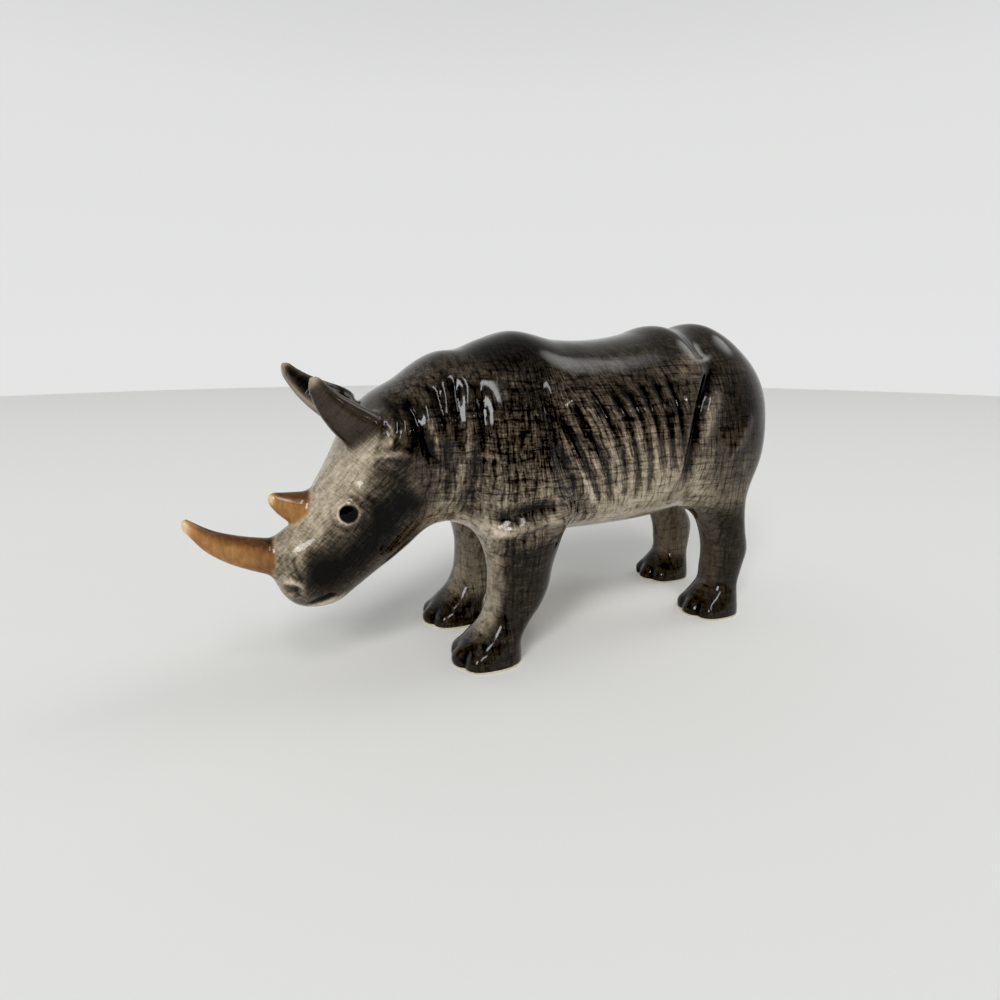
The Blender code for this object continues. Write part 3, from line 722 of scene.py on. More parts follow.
@dataclass
class Head:
    """The skull with its horns and ears, its eyes, nostrils, mouth and wrinkles."""

    origin: Place = (-9.0, 0.0, 31.0)
    along: Place = (-0.66, 0.0, -0.751)
    up: Place = (-0.751, 0.0, 0.66)
    stations: Rows = (
        (-5.0, -7.5, 0.0, 4.4, 6.5, 0),
        (0.0, -9.0, 0.0, 5.0, 7.4, 0),
        (5.0, -10.0, 0.0, 5.2, 7.5, 0),
        (9.0, -9.8, -0.5, 5.8, 7.0, 0),
        (13.0, -9.1, -1.0, 5.4, 6.2, 0),
        (17.0, -8.0, -1.2, 4.5, 5.3, 0),
        (21.0, -6.9, -1.5, 5.2, 4.8, 0),
        (24.0, -6.1, -1.5, 4.1, 4.5, 0),
        (26.3, -5.3, -1.5, 3.2, 4.2, 0),
    )
    eye: Flat = (-18.6, 22.5)
    eye_radius: float = 1.06
    eye_rise: float = 1.08
    eye_lean: float = -25.0
    nostril: Flat = (-25.6, 12.8)
    paint: float = 0.61
    front_horn: Horn = field(
        default_factory=lambda: Horn((-24.8, 0, 15.8), (-0.88, 0, 0.45), 13.9, 4.9, 0.085)
    )
    rear_horn: Horn = field(default_factory=lambda: Horn((-21.0, 0, 21.8), (-0.92, 0, 0.37), 6.6, 5.3, 0.05))
    ears: tuple[Ear, Ear] = field(
        default_factory=lambda: (
            Ear(Side.NEAR, (-15.2, 5.6, 31.6), (-0.70, 0.14, 0.71), (0.25, -0.93, 0.28)),
            Ear(
                Side.FAR,
                (-15.0, 5.9, 33.8),
                (-0.78, 0.18, 0.60),
                (0.25, -0.93, 0.28),
                back=0.94,
                pale_tip=0.30,
                pale_edge=0.50,
            ),
        )
    )

    def form(self) -> Form:
        """The skull's mass, from behind the ears to the muzzle."""
        return Form(self.origin, self.along, self.up, self.stations, (4.0, 4.6), 2.2, 5.0)

    def folds(self) -> tuple[Fold, ...]:
        """The lids, nostril, mouth and brow, the wrinkles around them and the cheek's dark band."""
        x, z = self.eye
        nose_x, nose_z = self.nostril
        brow = shifted(((1.6, 2.4), (3.2, 1.0), (3.6, -1.2), (2.6, -2.8)), x, z)
        lids = (
            Fold(ring(x, z, 1.25, self.eye_rise, self.eye_lean), 0.16, -0.18, -0.20, 0, ink_width=0.7),
            Fold(shifted(((-1.1, 0.4), (-1.0, -0.6), (-0.2, -1.3)), x, z), 0.2, 0.0, -0.22),
            Fold(ring(x, z, 1.95, 1.05, self.eye_lean), 0.28, 0.16, 0.14, 0),
            Fold(ring(x, z, 2.55, 1.05, self.eye_lean), 0.30, -0.10, 0.0, 0),
            Fold(shifted(((-0.2, -0.1), (0.2, 0.1)), x, z), 1.1, -0.22, 0.0, 0),
            Fold(brow, 0.4, 0.16, 0.2),
            Fold(shifted(((-2.4, 2.2), (-0.4, 3.3), (1.8, 3.1)), x, z), 0.45, 0.14, 0.12),
            Fold(shifted(((-2.8, -0.6), (-2.0, -2.4), (-0.2, -3.2)), x, z), 0.35, 0.10, 0.08),
        )
        wing = shifted(((-0.9, 0.9), (0.5, 1.1), (1.3, 0.1), (0.9, -0.9)), nose_x, nose_z)
        nose = (
            Fold(shifted(((-0.35, 0.1), (0.35, -0.1)), nose_x, nose_z), 0.6, 0.75, 0.75, 0),
            Fold(wing, 0.4, -0.25, -0.3),
            Fold(((-23.9, 10.4), (-22.0, 11.3), (-20.1, 11.9)), 0.4, 0.35, 0.40),
            Fold(((-24.0, 9.7), (-22.0, 10.5), (-20.0, 11.1)), 0.4, -0.15, -0.22),
        )
        crease = ((-27.0, 17.8), (-27.4, 16.5), (-27.0, 15.1), (-26.4, 13.8))
        bridge = tuple(Fold(shifted(crease, s, 0.0), 0.28, 0.18, 0.28) for s in (0.0, 0.75, 1.5, 2.2))
        band = ((-25.0, 16.8), (-21.8, 15.2), (-18.8, 16.0), (-15.6, 19.0), (-13.2, 22.6), (-11.2, 26.0))
        cheek = (
            Fold(band, 2.5, 0.0, 0.40),
            Fold(((-15.9, 28.8), (-13.7, 27.3), (-11.3, 24.2), (-9.3, 21.0)), 0.8, 0.40, 0.20),
            Fold(((-20.9, 24.2), (-19.5, 25.4), (-17.9, 25.8), (-16.2, 24.9)), 0.8, -0.40, -0.05),
            Fold(((-16.8, 24.0), (-15.2, 21.6), (-15.2, 18.8), (-16.6, 16.4)), 0.35, 0.10, 0.12),
            Fold(((-15.4, 24.6), (-13.8, 21.8), (-13.6, 18.8), (-14.8, 16.2)), 0.35, 0.10, 0.12),
        )
        return (*lids, *nose, *bridge, *cheek)

    def in_eye(self, points: Array) -> Array:
        """How far each point is inside the eye's oval, in parts, and -1 near the middle line."""
        x, z = points[:, 0] - self.eye[0], points[:, 2] - self.eye[1]
        lean = np.radians(self.eye_lean)
        a, b = x * np.cos(lean) + z * np.sin(lean), z * np.cos(lean) - x * np.sin(lean)
        inside = self.eye_radius - np.hypot(a, b / self.eye_rise)
        return np.where(np.abs(points[:, 1]) > 3.0, inside, -1.0)

    def tone(self, points: Array) -> Array:
        """The head's paint: an even dark tone, paler on the brow, nose, lips and eye's hollow."""
        washes = (
            Wash((-22.6, 15.0), (2.8, 2.6), 0, 0.12),
            Wash((-11.0, 28.5), (2.6, 3.0), 0, 0.10),
            Wash((-19.3, 26.6), (2.7, 7.5), -38, -0.36),
            Wash((-19.6, 21.6), (2.8, 2.4), 0, -0.14),
            Wash((-25.6, 16.5), (2.0, 3.5), 0, -0.30),
            Wash((-23.3, 20.0), (2.0, 2.2), 0, -0.22),
            Wash((-26.3, 12.4), (1.4, 2.2), 0, -0.25),
            Wash((-22.0, 9.7), (3.5, 1.1), 20, -0.50),
            Wash((-15.0, 30.6), (2.2, 1.6), 0, -0.14),
            Wash((-10.5, 34.5), (4.5, 3.5), 0, 0.18),
        )
        return self.paint + sum(wash.laid(points) for wash in washes)


@dataclass
class Leg:
    """A leg, from rows of (height, front, back, half, out) with 0 under the foot's middle.

    The rows below the ankle are the foot. Above them the leg swings from the foot's place
    to the hip's, and out moves a row away from the body's middle.
    """

    rows: Rows
    side: Side
    foot_x: float
    hip_x: float
    track: float
    foot_length: float
    blend: float
    ankle: float = 4.0
    swing_height: float = 22.0
    toe_angles: tuple[float, ...] = (-0.85, 0.0, 0.85)
    cleft_angles: tuple[float, ...] = (-0.43, 0.43)
    toe_radius: float = 1.1
    toe_lift: float = 1.3
    toe_rise: float = 0.50
    cleft_width: float = 0.42
    cleft_depth: float = 0.45
    cleft_ink: float = 0.25
    front_light: float = 0.45
    paint: float = 0.82
    outer_paint: float = 0.80
    foot_shade: float = 0.0

    def form(self) -> Form:
        """The leg's mass."""
        grown = self.foot_length / 2 / self.rows[0][2]
        stations = []
        for height, front, back, half, out in self.rows:
            share = grown if height < self.ankle else 1.0
            swung = float(ramp(np.array(height), self.ankle, self.ankle + self.swing_height))
            shift = (self.hip_x - self.foot_x) * swung
            stations.append(
                (
                    height,
                    front * share + shift,
                    (front + back) / 2 * share + shift,
                    back * share + shift,
                    half * share,
                    self.side.value * out,
                )
            )
        root = (self.foot_x, self.side.value * self.track / 2, 0)
        return Form(root, (0, 0, 1), (1, 0, 0), tuple(stations), (0.8, 5.0), 2.3, self.blend)

    def around_foot(self, points: Array) -> tuple[Array, Array, Array]:
        """Each point's distance and angle from the foot's middle, and whether it is on the foot."""
        ahead = self.foot_x - points[:, 0]
        aside = points[:, 1] - self.side.value * self.track / 2
        radius = np.hypot(ahead, aside)
        on_foot = (radius < 0.8 * self.foot_length) & (points[:, 2] < self.ankle)
        return radius, np.arctan2(aside, ahead), on_foot

    def nails(self, points: Array) -> Array:
        """How far the toes stand out: a round bell at each toe's angle, in parts."""
        radius, angle, on_foot = self.around_foot(points)
        rise = np.zeros(len(points))
        for toe in self.toe_angles:
            across = (angle - toe) * radius / self.toe_radius
            rise += np.exp(-(across**2) - ((points[:, 2] - self.toe_lift) / self.toe_radius) ** 2)
        return np.where(on_foot, self.toe_rise * rise, 0)

    def clefts(self, points: Array) -> Array:
        """A share from 0 to 1 in the clefts between the toes."""
        radius, angle, on_foot = self.around_foot(points)
        cleft = np.zeros(len(points))
        for gap in self.cleft_angles:
            across = (angle - gap) * radius / self.cleft_width
            cleft += np.exp(-(across**2)) * (1 - ramp(points[:, 2], 1.4, 3.0))
        return np.where(on_foot & (radius > 0.3 * self.foot_length), cleft, 0)

    def near(self, points: Array) -> Array:
        """1 near the leg and below the trunk, and 0 elsewhere."""
        return (1 - ramp(self.form().distance(points), 0.3, 1.5)) * (1 - ramp(points[:, 2], 16.0, 21.0))

    def tone(self, points: Array) -> Array:
        """The leg's paint, which turns to outer_paint on its outer side.

        It is paler by front_light along its front edge, and darker by foot_shade at the
        foot and in the clefts.
        """
        at, u, _ = self.form().placed(points)
        low, wide, high, _, _ = self.form().section(np.clip(at, 0, self.rows[-1][0]))
        forward = (wide - u) / (wide - low)
        front = ramp(forward, 0.68, 1.0) * ramp(points[:, 2], 2.5, 6.0)
        foot = 1 - ramp(points[:, 2], 3.0, 6.0)
        outwards = self.side.value * points[:, 1] - self.track / 2
        paint = self.paint + (self.outer_paint - self.paint) * ramp(outwards, -1.0, 2.5)
        shade = paint - self.front_light * front + self.foot_shade * foot
        return shade + self.cleft_ink * self.clefts(points)


@dataclass
class Tail:
    """The tail, which hangs against the rump and ends in a tuft."""

    root: Place = (49.3, 0, 34.5)
    along: Place = (0.04, 0, -1)
    length: float = 13.0
    thickness: float = 2.2
    groove_depth: float = 0.40
    groove_width: float = 0.45
    groove_ink: float = 0.3

    def grooves(self, points: Array) -> Array:
        """A share from 0 to 1 in the grooves that part the tail from the rump, one a side."""
        away = (np.abs(points[:, 1]) - 0.7 * self.thickness) / self.groove_width
        run = ramp(points[:, 2], 20.0, 23.0) * (1 - ramp(points[:, 2], 34.0, 38.0))
        return np.where(points[:, 0] > 44.0, run * np.exp(-(away**2)), 0)

    def form(self) -> Form:
        """The tail's mass."""
        shares = ((0.0, 0.62), (0.3, 0.50), (0.65, 0.42), (0.85, 0.60), (1.0, 0.30))
        stations = []
        for at, size in shares:
            half = size * self.thickness
            stations.append((at * self.length, -half, 0, half, half, 0))
        return Form(self.root, self.along, (1, 0, 0), tuple(stations), (1.0, 1.5), 2.0, 1.5)


FORE_LEG = (
    (-1.0, -4.9, 4.9, 4.7, 0),
    (1.2, -4.9, 4.9, 4.7, 0),
    (3.2, -3.1, 4.9, 4.3, 0),
    (5.2, -1.0, 5.9, 3.7, 0),
    (7.5, 0.1, 7.8, 3.7, 0),
    (10.0, 0.4, 8.9, 4.0, 0),
    (13.0, 0.3, 9.2, 4.4, 0.1),
    (17.0, -0.9, 10.1, 5.2, 0.3),
    (22.0, -2.5, 11.9, 5.3, 0.3),
    (30.0, -1.7, 10.3, 4.6, -0.5),
)
HIND_LEG = (
    (-1.0, -4.4, 4.4, 4.3, 0),
    (1.0, -4.4, 4.4, 4.3, 0),
    (2.8, -3.3, 4.3, 3.9, 0),
    (4.8, -1.5, 4.3, 3.3, 0),
    (7.5, -1.3, 4.9, 3.3, 0),
    (10.5, -1.4, 5.2, 3.6, 0),
    (14.0, -2.6, 3.6, 4.0, 0),
    (19.0, -6.2, 2.6, 4.7, -0.3),
    (26.0, -9.3, 5.1, 5.4, -0.9),
    (38.0, -7.0, 4.5, 4.0, -3.0),
)


@dataclass
class Rhinoceros:
    """The whole figure: its forms, the skin drawn over them, its carving and its paint."""

    trunk: Trunk = field(default_factory=Trunk)
    head: Head = field(default_factory=Head)
    tail: Tail = field(default_factory=Tail)
    wheelbase: float = 41.8
    fore_track: float = 15.4
    hind_track: float = 17.0
    skin_grain: float = 0.415
    face_behind: float = -14.5
    rim_height: float = 0.30
    cast_lumps: float = 0.016
    cast_grain: float = 0.003

    def __post_init__(self) -> None:
        """Stands the figure on its four legs."""
        fore, hind = self.fore_track, self.hind_track
        back = self.wheelbase
        far_fore = {"front_light": 0.10, "paint": 0.50, "foot_shade": 0.30}
        far_hind = {"front_light": 0.05, "paint": 0.52, "foot_shade": 0.24}
        self.legs = (
            Leg(FORE_LEG, Side.NEAR, -0.7, 0.0, fore, 9.5, 3.0),
            Leg(FORE_LEG, Side.FAR, 0.9, 2.0, fore, 9.5, 3.0, **far_fore),
            Leg(HIND_LEG, Side.NEAR, back - 2.3, back, hind, 8.8, 4.0, front_light=0.14),
            Leg(HIND_LEG, Side.FAR, back + 2.4, back, hind, 8.8, 4.0, **far_hind),
        )

    def solid_forms(self) -> tuple[Form, ...]:
        """Every mass but the trunk's and the ears'."""
        horns = (self.head.rear_horn.form(), self.head.front_horn.form())
        return (self.head.form(), *(leg.form() for leg in self.legs), self.tail.form(), *horns)

    def distance(self, points: Array) -> Array:
        """How far each point is outside the smooth blend of all the forms, in parts."""
        total = self.trunk.form().distance(points)
        for form in self.solid_forms():
            total = soft_least(total, form.distance(points), form.blend)
        for ear in self.head.ears:
            shell, cup = ear.forms()
            hollowed = soft_most(shell.distance(points), -cup.distance(points), cup.blend)
            total = soft_least(total, hollowed, shell.blend)
        return total

    def settled(self, points: Array, passes: int) -> tuple[Array, Array]:
        """Moves points onto the blended surface by Newton's steps.

        A step goes against the slope by height / slope^2, and the slope is read from the
        distance at three points a short step away.

        Args:
            points: the points to move, one row each.
            passes: how many steps are taken.

        Returns:
            The moved points, and the way out of the surface at each.
        """
        step, longest = 0.03, 0.6
        for turn in range(passes + 1):
            height = self.distance(points)
            ahead = [self.distance(points + step * axis) - height for axis in np.eye(3)]
            slope = np.stack(ahead, axis=1) / step
            steep = np.maximum((slope**2).sum(1), 1e-3)
            if turn < passes:
                points = points - np.clip(height / steep, -longest, longest)[:, None] * slope
        return points, slope / np.sqrt(steep)[:, None]

    def folds(self) -> tuple[Fold, ...]:
        """Every fold that is cut into both sides."""
        return (*self.trunk.folds(), *self.head.folds())

    def sideways(self, points: Array, out: Array) -> Array:
        """How squarely each point faces its side, from 0 on the middle line to 1."""
        facing = np.clip(1.6 * out[:, 1] * np.sign(points[:, 1]), 0, 1)
        return facing * np.clip((np.abs(points[:, 1]) - 1.0) / 3.0, 0, 1)

    def carved(self, points: Array, out: Array) -> Array:
        """The points moved along the way out, or in where something is cut.

        The folds, the clefts between the toes and the tail's grooves are cut, the nails stand
        out, and the whole skin is slightly uneven.
        """
        depth = sum(fold.cut(points) for fold in self.folds()) * self.sideways(points, out)
        rise = sum(leg.nails(points) - leg.cleft_depth * leg.clefts(points) for leg in self.legs)
        rise = rise - self.tail.groove_depth * self.tail.grooves(points)
        rise = rise + self.cast_lumps * uneven(points, size=2.2, seed=11)
        rise = rise + self.cast_grain * uneven(points, size=0.9, seed=12)
        return points + (rise - depth)[:, None] * out

    def on_head(self, points: Array, end: float) -> Array:
        """1 on the head, and 0 from where the leaning line behind it passes end."""
        return 1 - ramp(points[:, 0] + 0.25 * (points[:, 2] - 28.0), -12.5, end)

    def tone(self, points: Array, out: Array) -> Array:
        """How dark the brown-black paint lies at each point, from 0 to 1, with painted highlights along some
        of the haunch's ridges.
        """
        in_head = self.on_head(points, -8.5)
        tone = self.trunk.tone(points) * (1 - in_head) + self.head.tone(points) * in_head
        for leg in self.legs:
            share = leg.near(points)
            tone = tone * (1 - share) + leg.tone(points) * share
        # The folds' paint, with the painted highlights along the haunch's ridges
        ink_and_highlight = sum(fold.ink_and_highlight_at(points) for fold in self.folds()) * self.sideways(points, out)
        tone = tone + ink_and_highlight + self.tail.groove_ink * self.tail.grooves(points)
        for ear in self.head.ears:
            tone = ear.painted(points, tone)
        return tone

    def strokes(self, points: Array) -> Array:
        """The brush's own coordinates: across the folds, along them, and in depth, in parts.

        On the flank across is counted along the middle of the ribs, so that strokes follow
        each rib.
        """
        x, y, z = points.T
        flank = ramp(x, 5.0, 10.0) * (1 - ramp(x, 30.0, 34.0)) * ramp(z, 15.0, 19.0)
        return np.stack([x + flank * (self.trunk.across_ribs(points) - x), z, y], axis=1)

    def head_strokes(self, points: Array) -> Array:
        """The brush's coordinates on the head: across the skull's line and along it."""
        at, up, side = self.head.form().placed(points)
        return np.stack([up, at, side], axis=1)

    def hatching(self, points: Array) -> Array:
        """How strongly the brush strokes show: most on the shoulder and ribs, least on the back."""
        x, z = points[:, 0], points[:, 2]
        strength = 0.75 + 0.45 * Wash((8.0, 29.0), (15.0, 9.0), 0, 1.0).laid(points)
        strength = strength * (1 - 0.45 * ramp(z, 38.0, 43.0)) * (1 - 0.3 * ramp(x, 33.0, 38.0))
        strength = strength * (1 - 0.35 * (1 - ramp(z, 12.0, 17.0)) * ramp(x, -14.0, -12.0))
        strength = strength * (1 - 0.75 * ramp(z - x, 47.0, 50.0) * (1 - ramp(x, -14.0, -12.0)))
        return strength * (1 - 0.5 * Wash((-21.0, 15.0), (4.0, 3.0), 40, 1.0).laid(points))

    def attributes(self, points: Array, out: Array) -> dict[str, Array]:
        """The painter's values at each point, by name."""
        horns = (self.head.front_horn, self.head.rear_horn)
        masks = [horn.mask(points) for horn in horns]
        horn_tone = sum(mask * horn.tone(points) for mask, horn in zip(masks, horns))
        return {
            "tone": self.tone(points, out),
            "horn": np.clip(sum(masks), 0, 1),
            "horn_tone": horn_tone,
            "eye": self.head.in_eye(points),
            "strokes": self.strokes(points),
            "head_strokes": self.head_strokes(points),
            "on_head": self.on_head(points, -9.5),
            "hatching": self.hatching(points),
        }

    def skin(self) -> bmesh.types.BMesh:
        """Wraps the lofts in one voxel skin, finer on the face, and returns it as a bmesh."""
        heap = bmesh.new()
        shells = tuple(ear.forms()[0] for ear in self.head.ears)
        for form in (self.trunk.form(), *self.solid_forms(), *shells):
            mesh = bpy.data.meshes.new("mass")
            points, faces = form.loft()
            mesh.from_pydata(points.tolist(), [], faces.tolist())
            heap.from_mesh(mesh)
            bpy.data.meshes.remove(mesh)
        bmesh.ops.recalc_face_normals(heap, faces=heap.faces)
        mesh = bpy.data.meshes.new("masses")
        heap.to_mesh(mesh)
        heap.free()
        masses = in_scene("masses", mesh)
        wrap = masses.modifiers.new("wrap", "REMESH")
        wrap.mode = "VOXEL"
        wrap.voxel_size = self.skin_grain
        evaluated = masses.evaluated_get(bpy.context.evaluated_depsgraph_get())
        skin = bmesh.new()
        skin.from_mesh(evaluated.to_mesh())
        evaluated.to_mesh_clear()
        bpy.data.objects.remove(masses)
        bpy.data.meshes.remove(mesh)
        face = [edge for edge in skin.edges if max(v.co.x for v in edge.verts) < self.face_behind]
        bmesh.ops.subdivide_edges(skin, edges=face, cuts=1, use_grid_fill=True)
        bmesh.ops.triangulate(skin, faces=[f for f in skin.faces if len(f.verts) > 4])
        return skin

    def build(self) -> bpy.types.Object:
        """Builds the figure as one object, settled, carved and cut flat at its soles."""
        skin = self.skin()
        points = np.array([vertex.co for vertex in skin.verts])
        edges = np.array([[vertex.index for vertex in edge.verts] for edge in skin.edges])
        points, _ = self.settled(points, 4)
        points, out = self.settled(relaxed(points, edges), 3)
        points = relaxed(self.carved(points, out), edges, 2)
        mesh = bpy.data.meshes.new("rhinoceros_figurine")
        skin.to_mesh(mesh)
        skin.free()
        mesh.vertices.foreach_set("co", points.ravel())
        self.cut_soles(mesh)
        self.paint(mesh)
        self.place(mesh)
        mesh.shade_smooth()
        return in_scene("rhinoceros_figurine", mesh)

    def cut_soles(self, mesh: bpy.types.Mesh) -> None:
        """Cuts the feet flat at the ground, and scores the skin where the bare rim ends."""
        soles = bmesh.new()
        soles.from_mesh(mesh)
        for height, clear in ((0.0, True), (self.rim_height, False)):
            everything = [*soles.verts, *soles.edges, *soles.faces]
            plane = {"plane_co": (0, 0, height), "plane_no": (0, 0, 1)}
            bmesh.ops.bisect_plane(soles, geom=everything, clear_inner=clear, dist=1e-4, **plane)
            if clear:
                bmesh.ops.holes_fill(soles, edges=[e for e in soles.edges if e.is_boundary])
        bmesh.ops.triangulate(soles, faces=[f for f in soles.faces if len(f.verts) > 4])
        soles.to_mesh(mesh)
        soles.free()

    def paint(self, mesh: bpy.types.Mesh) -> None:
        """Stores the painter's values on the mesh, whose points are still in parts."""
        values = self.attributes(rows_of(mesh.vertices, "co"), rows_of(mesh.vertex_normals, "vector"))
        for name, value in values.items():
            kind, key = ("FLOAT_VECTOR", "vector") if value.ndim == 2 else ("FLOAT", "value")
            layer = mesh.attributes.new(name, kind, "POINT")
            layer.data.foreach_set(key, value.astype(np.float32).ravel())

    def place(self, mesh: bpy.types.Mesh) -> None:
        """Scales the mesh to the frame's height and centres it on the frame's box."""
        low, high = (np.array(corner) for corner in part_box(NODE))
        points = rows_of(mesh.vertices, "co")
        own_low, own_high = points.min(axis=0), points.max(axis=0)
        scale = (high[2] - low[2]) / (own_high[2] - own_low[2])
        middle = (own_low + own_high) / 2
        middle[2] = own_low[2]
        base = (low + high) / 2
        base[2] = low[2]
        points = (points - middle) * scale + base
        mesh.vertices.foreach_set("co", points.ravel())


# Finishes


def linear(hex_colour: str) -> tuple[float, float, float, float]:
    """The linear colour of an sRGB hex value, with full alpha."""
    channels = np.array([int(hex_colour[i : i + 2], 16) for i in (1, 3, 5)]) / 255
    low, high = channels / 12.92, ((channels + 0.055) / 1.055) ** 2.4
    return (*(float(c) for c in np.where(channels <= 0.04045, low, high)), 1.0)


def add(
    tree: Tree,
    kind: str,
    settings: dict[str, object] | None = None,
    links: dict[str | int, object] | None = None,
) -> bpy.types.Node:
    """Adds a node to a tree.

    Args:
        tree: the tree to add it to.
        kind: the node's type, such as ShaderNodeMath.
        settings: values of its properties, such as operation.
        links: for each input, by name or number, a socket to link it to or its value.

    Returns:
        The new node.
    """
    node = tree.nodes.new(kind)
    for name, value in (settings or {}).items():
        setattr(node, name, value)
    for name, value in (links or {}).items():
        if isinstance(value, Socket):
            tree.links.new(value, node.inputs[name])
        else:
            node.inputs[name].default_value = value
    return node


def tinted(tree: Tree, value: Socket, stops: Stops) -> Socket:
    """The colour that a colour ramp of the given stops has at a value."""
    node = add(tree, "ShaderNodeValToRGB", None, {"Fac": value})
    band = node.color_ramp
    while len(band.elements) < len(stops):
        band.elements.new(0.5)
    for element, (place, colour) in zip(band.elements, stops):
        element.position = place
        element.color = linear(colour)
    return node.outputs[0]


def ranged(tree: Tree, value: Socket, source: Flat, target: Flat = (0.0, 1.0), **settings: str) -> Socket:
    """A value mapped from the source range to the target range, and held in it."""
    limits = {"From Min": source[0], "From Max": source[1], "To Min": target[0], "To Max": target[1]}
    return add(tree, "ShaderNodeMapRange", settings, {"Value": value, **limits}).outputs[0]


def mixed(tree: Tree, share: Socket, first: object, second: object, **settings: object) -> Socket:
    """The mix of two colours by a share from 0 to 1, each a socket or a value."""
    settings = {"data_type": "RGBA", **settings}
    return add(tree, "ShaderNodeMix", settings, {0: share, 6: first, 7: second}).outputs[2]


def new_material(name: str, roughness: float) -> tuple[bpy.types.Material, bpy.types.Node]:
    """A new material of the given roughness, and its shader."""
    material = bpy.data.materials.new(name)
    material.use_nodes = True
    shader = material.node_tree.nodes["Principled BSDF"]
    shader.inputs["Roughness"].default_value = roughness
    return material, shader


@dataclass(frozen=True)
class PaintedPorcelain:
    """Slip-cast porcelain, painted by brush in brown-black and amber under a clear glaze.

    The eye sees a pale warm body through strokes that follow the folds, and sharp
    reflections in the smooth glaze over it.
    """

    skin: Stops = (
        (0.00, "#d9cfc0"),
        (0.22, "#b5a894"),
        (0.42, "#857a68"),
        (0.60, "#544b40"),
        (0.80, "#29251f"),
        (1.00, "#0e0d0c"),
    )
    horn: Stops = (
        (0.00, "#dcc49e"),
        (0.20, "#bd8d5a"),
        (0.45, "#956a40"),
        (0.75, "#63452e"),
        (1.00, "#35261c"),
    )
    eye: str = "#060607"
    roughness: float = 0.10
    ior: float = 1.34
    line_width: float = 0.24
    line_pitch: float = 1.05
    line_length: float = 9.0
    line_sway: float = 3.0
    line_break: float = 1.3
    stroke_width: float = 0.24
    stroke_length: float = 2.0
    dab_size: float = 0.30
    blotch_size: float = 2.8

    def noise(self, tree: Tree, coordinates: Socket, sizes: Place, detail: float) -> Socket:
        """A noise whose lumps have the given sizes, in parts, along the three coordinates."""
        scale = tuple(1 / size for size in sizes)
        mapping = add(tree, "ShaderNodeMapping", None, {"Vector": coordinates, "Scale": scale})
        values = {"Vector": mapping.outputs[0], "Scale": 1.0, "Detail": detail, "Roughness": 0.55}
        return add(tree, "ShaderNodeTexNoise", None, values).outputs["Fac"]

    def math(self, tree: Tree, operation: str, a: object, b: object, c: object = 0.0) -> Socket:
        """The result of a math node on up to three values or sockets."""
        return add(tree, "ShaderNodeMath", {"operation": operation}, {0: a, 1: b, 2: c}).outputs[0]

    def hatched(self, tree: Tree, brush: Socket, lines: float) -> Socket:
        """Draws the brush work over one set of coordinates.

        It is the sum of short strokes both ways, dabs and blotches, which are noises times a
        strength, and of a net of thin dark lines at an even pitch, which a slow noise sways
        and another lets come and go.

        Args:
            tree: the material's nodes.
            brush: the coordinates, across, along and in depth.
            lines: the strength of the long lines.

        Returns:
            How much darker or paler the brush work is than the wash under it.
        """
        pitch, length = self.line_pitch, self.line_length
        thin, short = self.stroke_width, self.stroke_length
        layers = (
            ((thin, short, 1.0), 2.0, 0.24),
            ((short, thin, 1.0), 2.0, 0.16),
            ((self.dab_size,) * 3, 1.0, 0.14),
            ((self.blotch_size,) * 3, 2.0, 0.13),
        )
        total = self.math(tree, "ADD", 0.0, 0.0)
        for sizes, detail, strength in layers:
            lump = self.noise(tree, brush, sizes, detail)
            part = ranged(tree, lump, (0.32, 0.68), (-0.5 * strength, 0.5 * strength))
            total = self.math(tree, "ADD", total, part)
        held = ranged(tree, self.noise(tree, brush, (self.line_break,) * 3, 1.0), (0.34, 0.60))
        apart = add(tree, "ShaderNodeSeparateXYZ", None, {"Vector": brush})
        nets = (("X", pitch, (3.0, length, 3.0), 0.29), ("Y", 1.2 * pitch, (length, 3.0, 3.0), 0.23))
        for axis, spacing, sizes, strength in nets:
            sway = self.math(tree, "MULTIPLY", self.noise(tree, brush, sizes, 2.0), self.line_sway)
            turns = self.math(tree, "MULTIPLY_ADD", apart.outputs[axis], 1 / spacing, sway)
            away = self.math(tree, "PINGPONG", turns, 0.5)
            line = ranged(tree, away, (self.line_width / spacing, 0.0), (0.0, strength * lines))
            total = self.math(tree, "MULTIPLY_ADD", line, held, total)
        return total

    def material(self) -> bpy.types.Material:
        """Makes the finish: brush work over the painted tone, the horns and the eye.

        Returns:
            The material.
        """
        material, shader = new_material("painted_porcelain_clear_glazed", self.roughness)
        tree = material.node_tree
        value = {
            name: add(tree, "ShaderNodeAttribute", {"attribute_name": name})
            for name in ("tone", "horn", "horn_tone", "eye", "strokes", "head_strokes", "on_head", "hatching")
        }
        brush = value["strokes"].outputs["Vector"]
        on_body = self.hatched(tree, brush, 1.0)
        on_head = self.hatched(tree, value["head_strokes"].outputs["Vector"], 0.4)
        drawn = add(tree, "ShaderNodeMix", None, {0: value["on_head"].outputs["Fac"], 2: on_body, 3: on_head})
        hatching = value["hatching"].outputs["Fac"]
        tone = self.math(tree, "MULTIPLY_ADD", drawn.outputs[0], hatching, value["tone"].outputs["Fac"])
        streak = self.noise(tree, brush, (0.5, 1.5, 0.5), 3.0)
        horn_tone = self.math(tree, "MULTIPLY_ADD", streak, 0.5, -0.25)
        horn_tone = self.math(tree, "ADD", horn_tone, value["horn_tone"].outputs["Fac"])
        skin, horn = tinted(tree, tone, self.skin), tinted(tree, horn_tone, self.horn)
        painted = mixed(tree, value["horn"].outputs["Fac"], skin, horn)
        seen = ranged(tree, value["eye"].outputs["Fac"], (-0.12, 0.08))
        tree.links.new(mixed(tree, seen, painted, linear(self.eye)), shader.inputs["Base Color"])
        shader.inputs["IOR"].default_value = self.ior
        return material


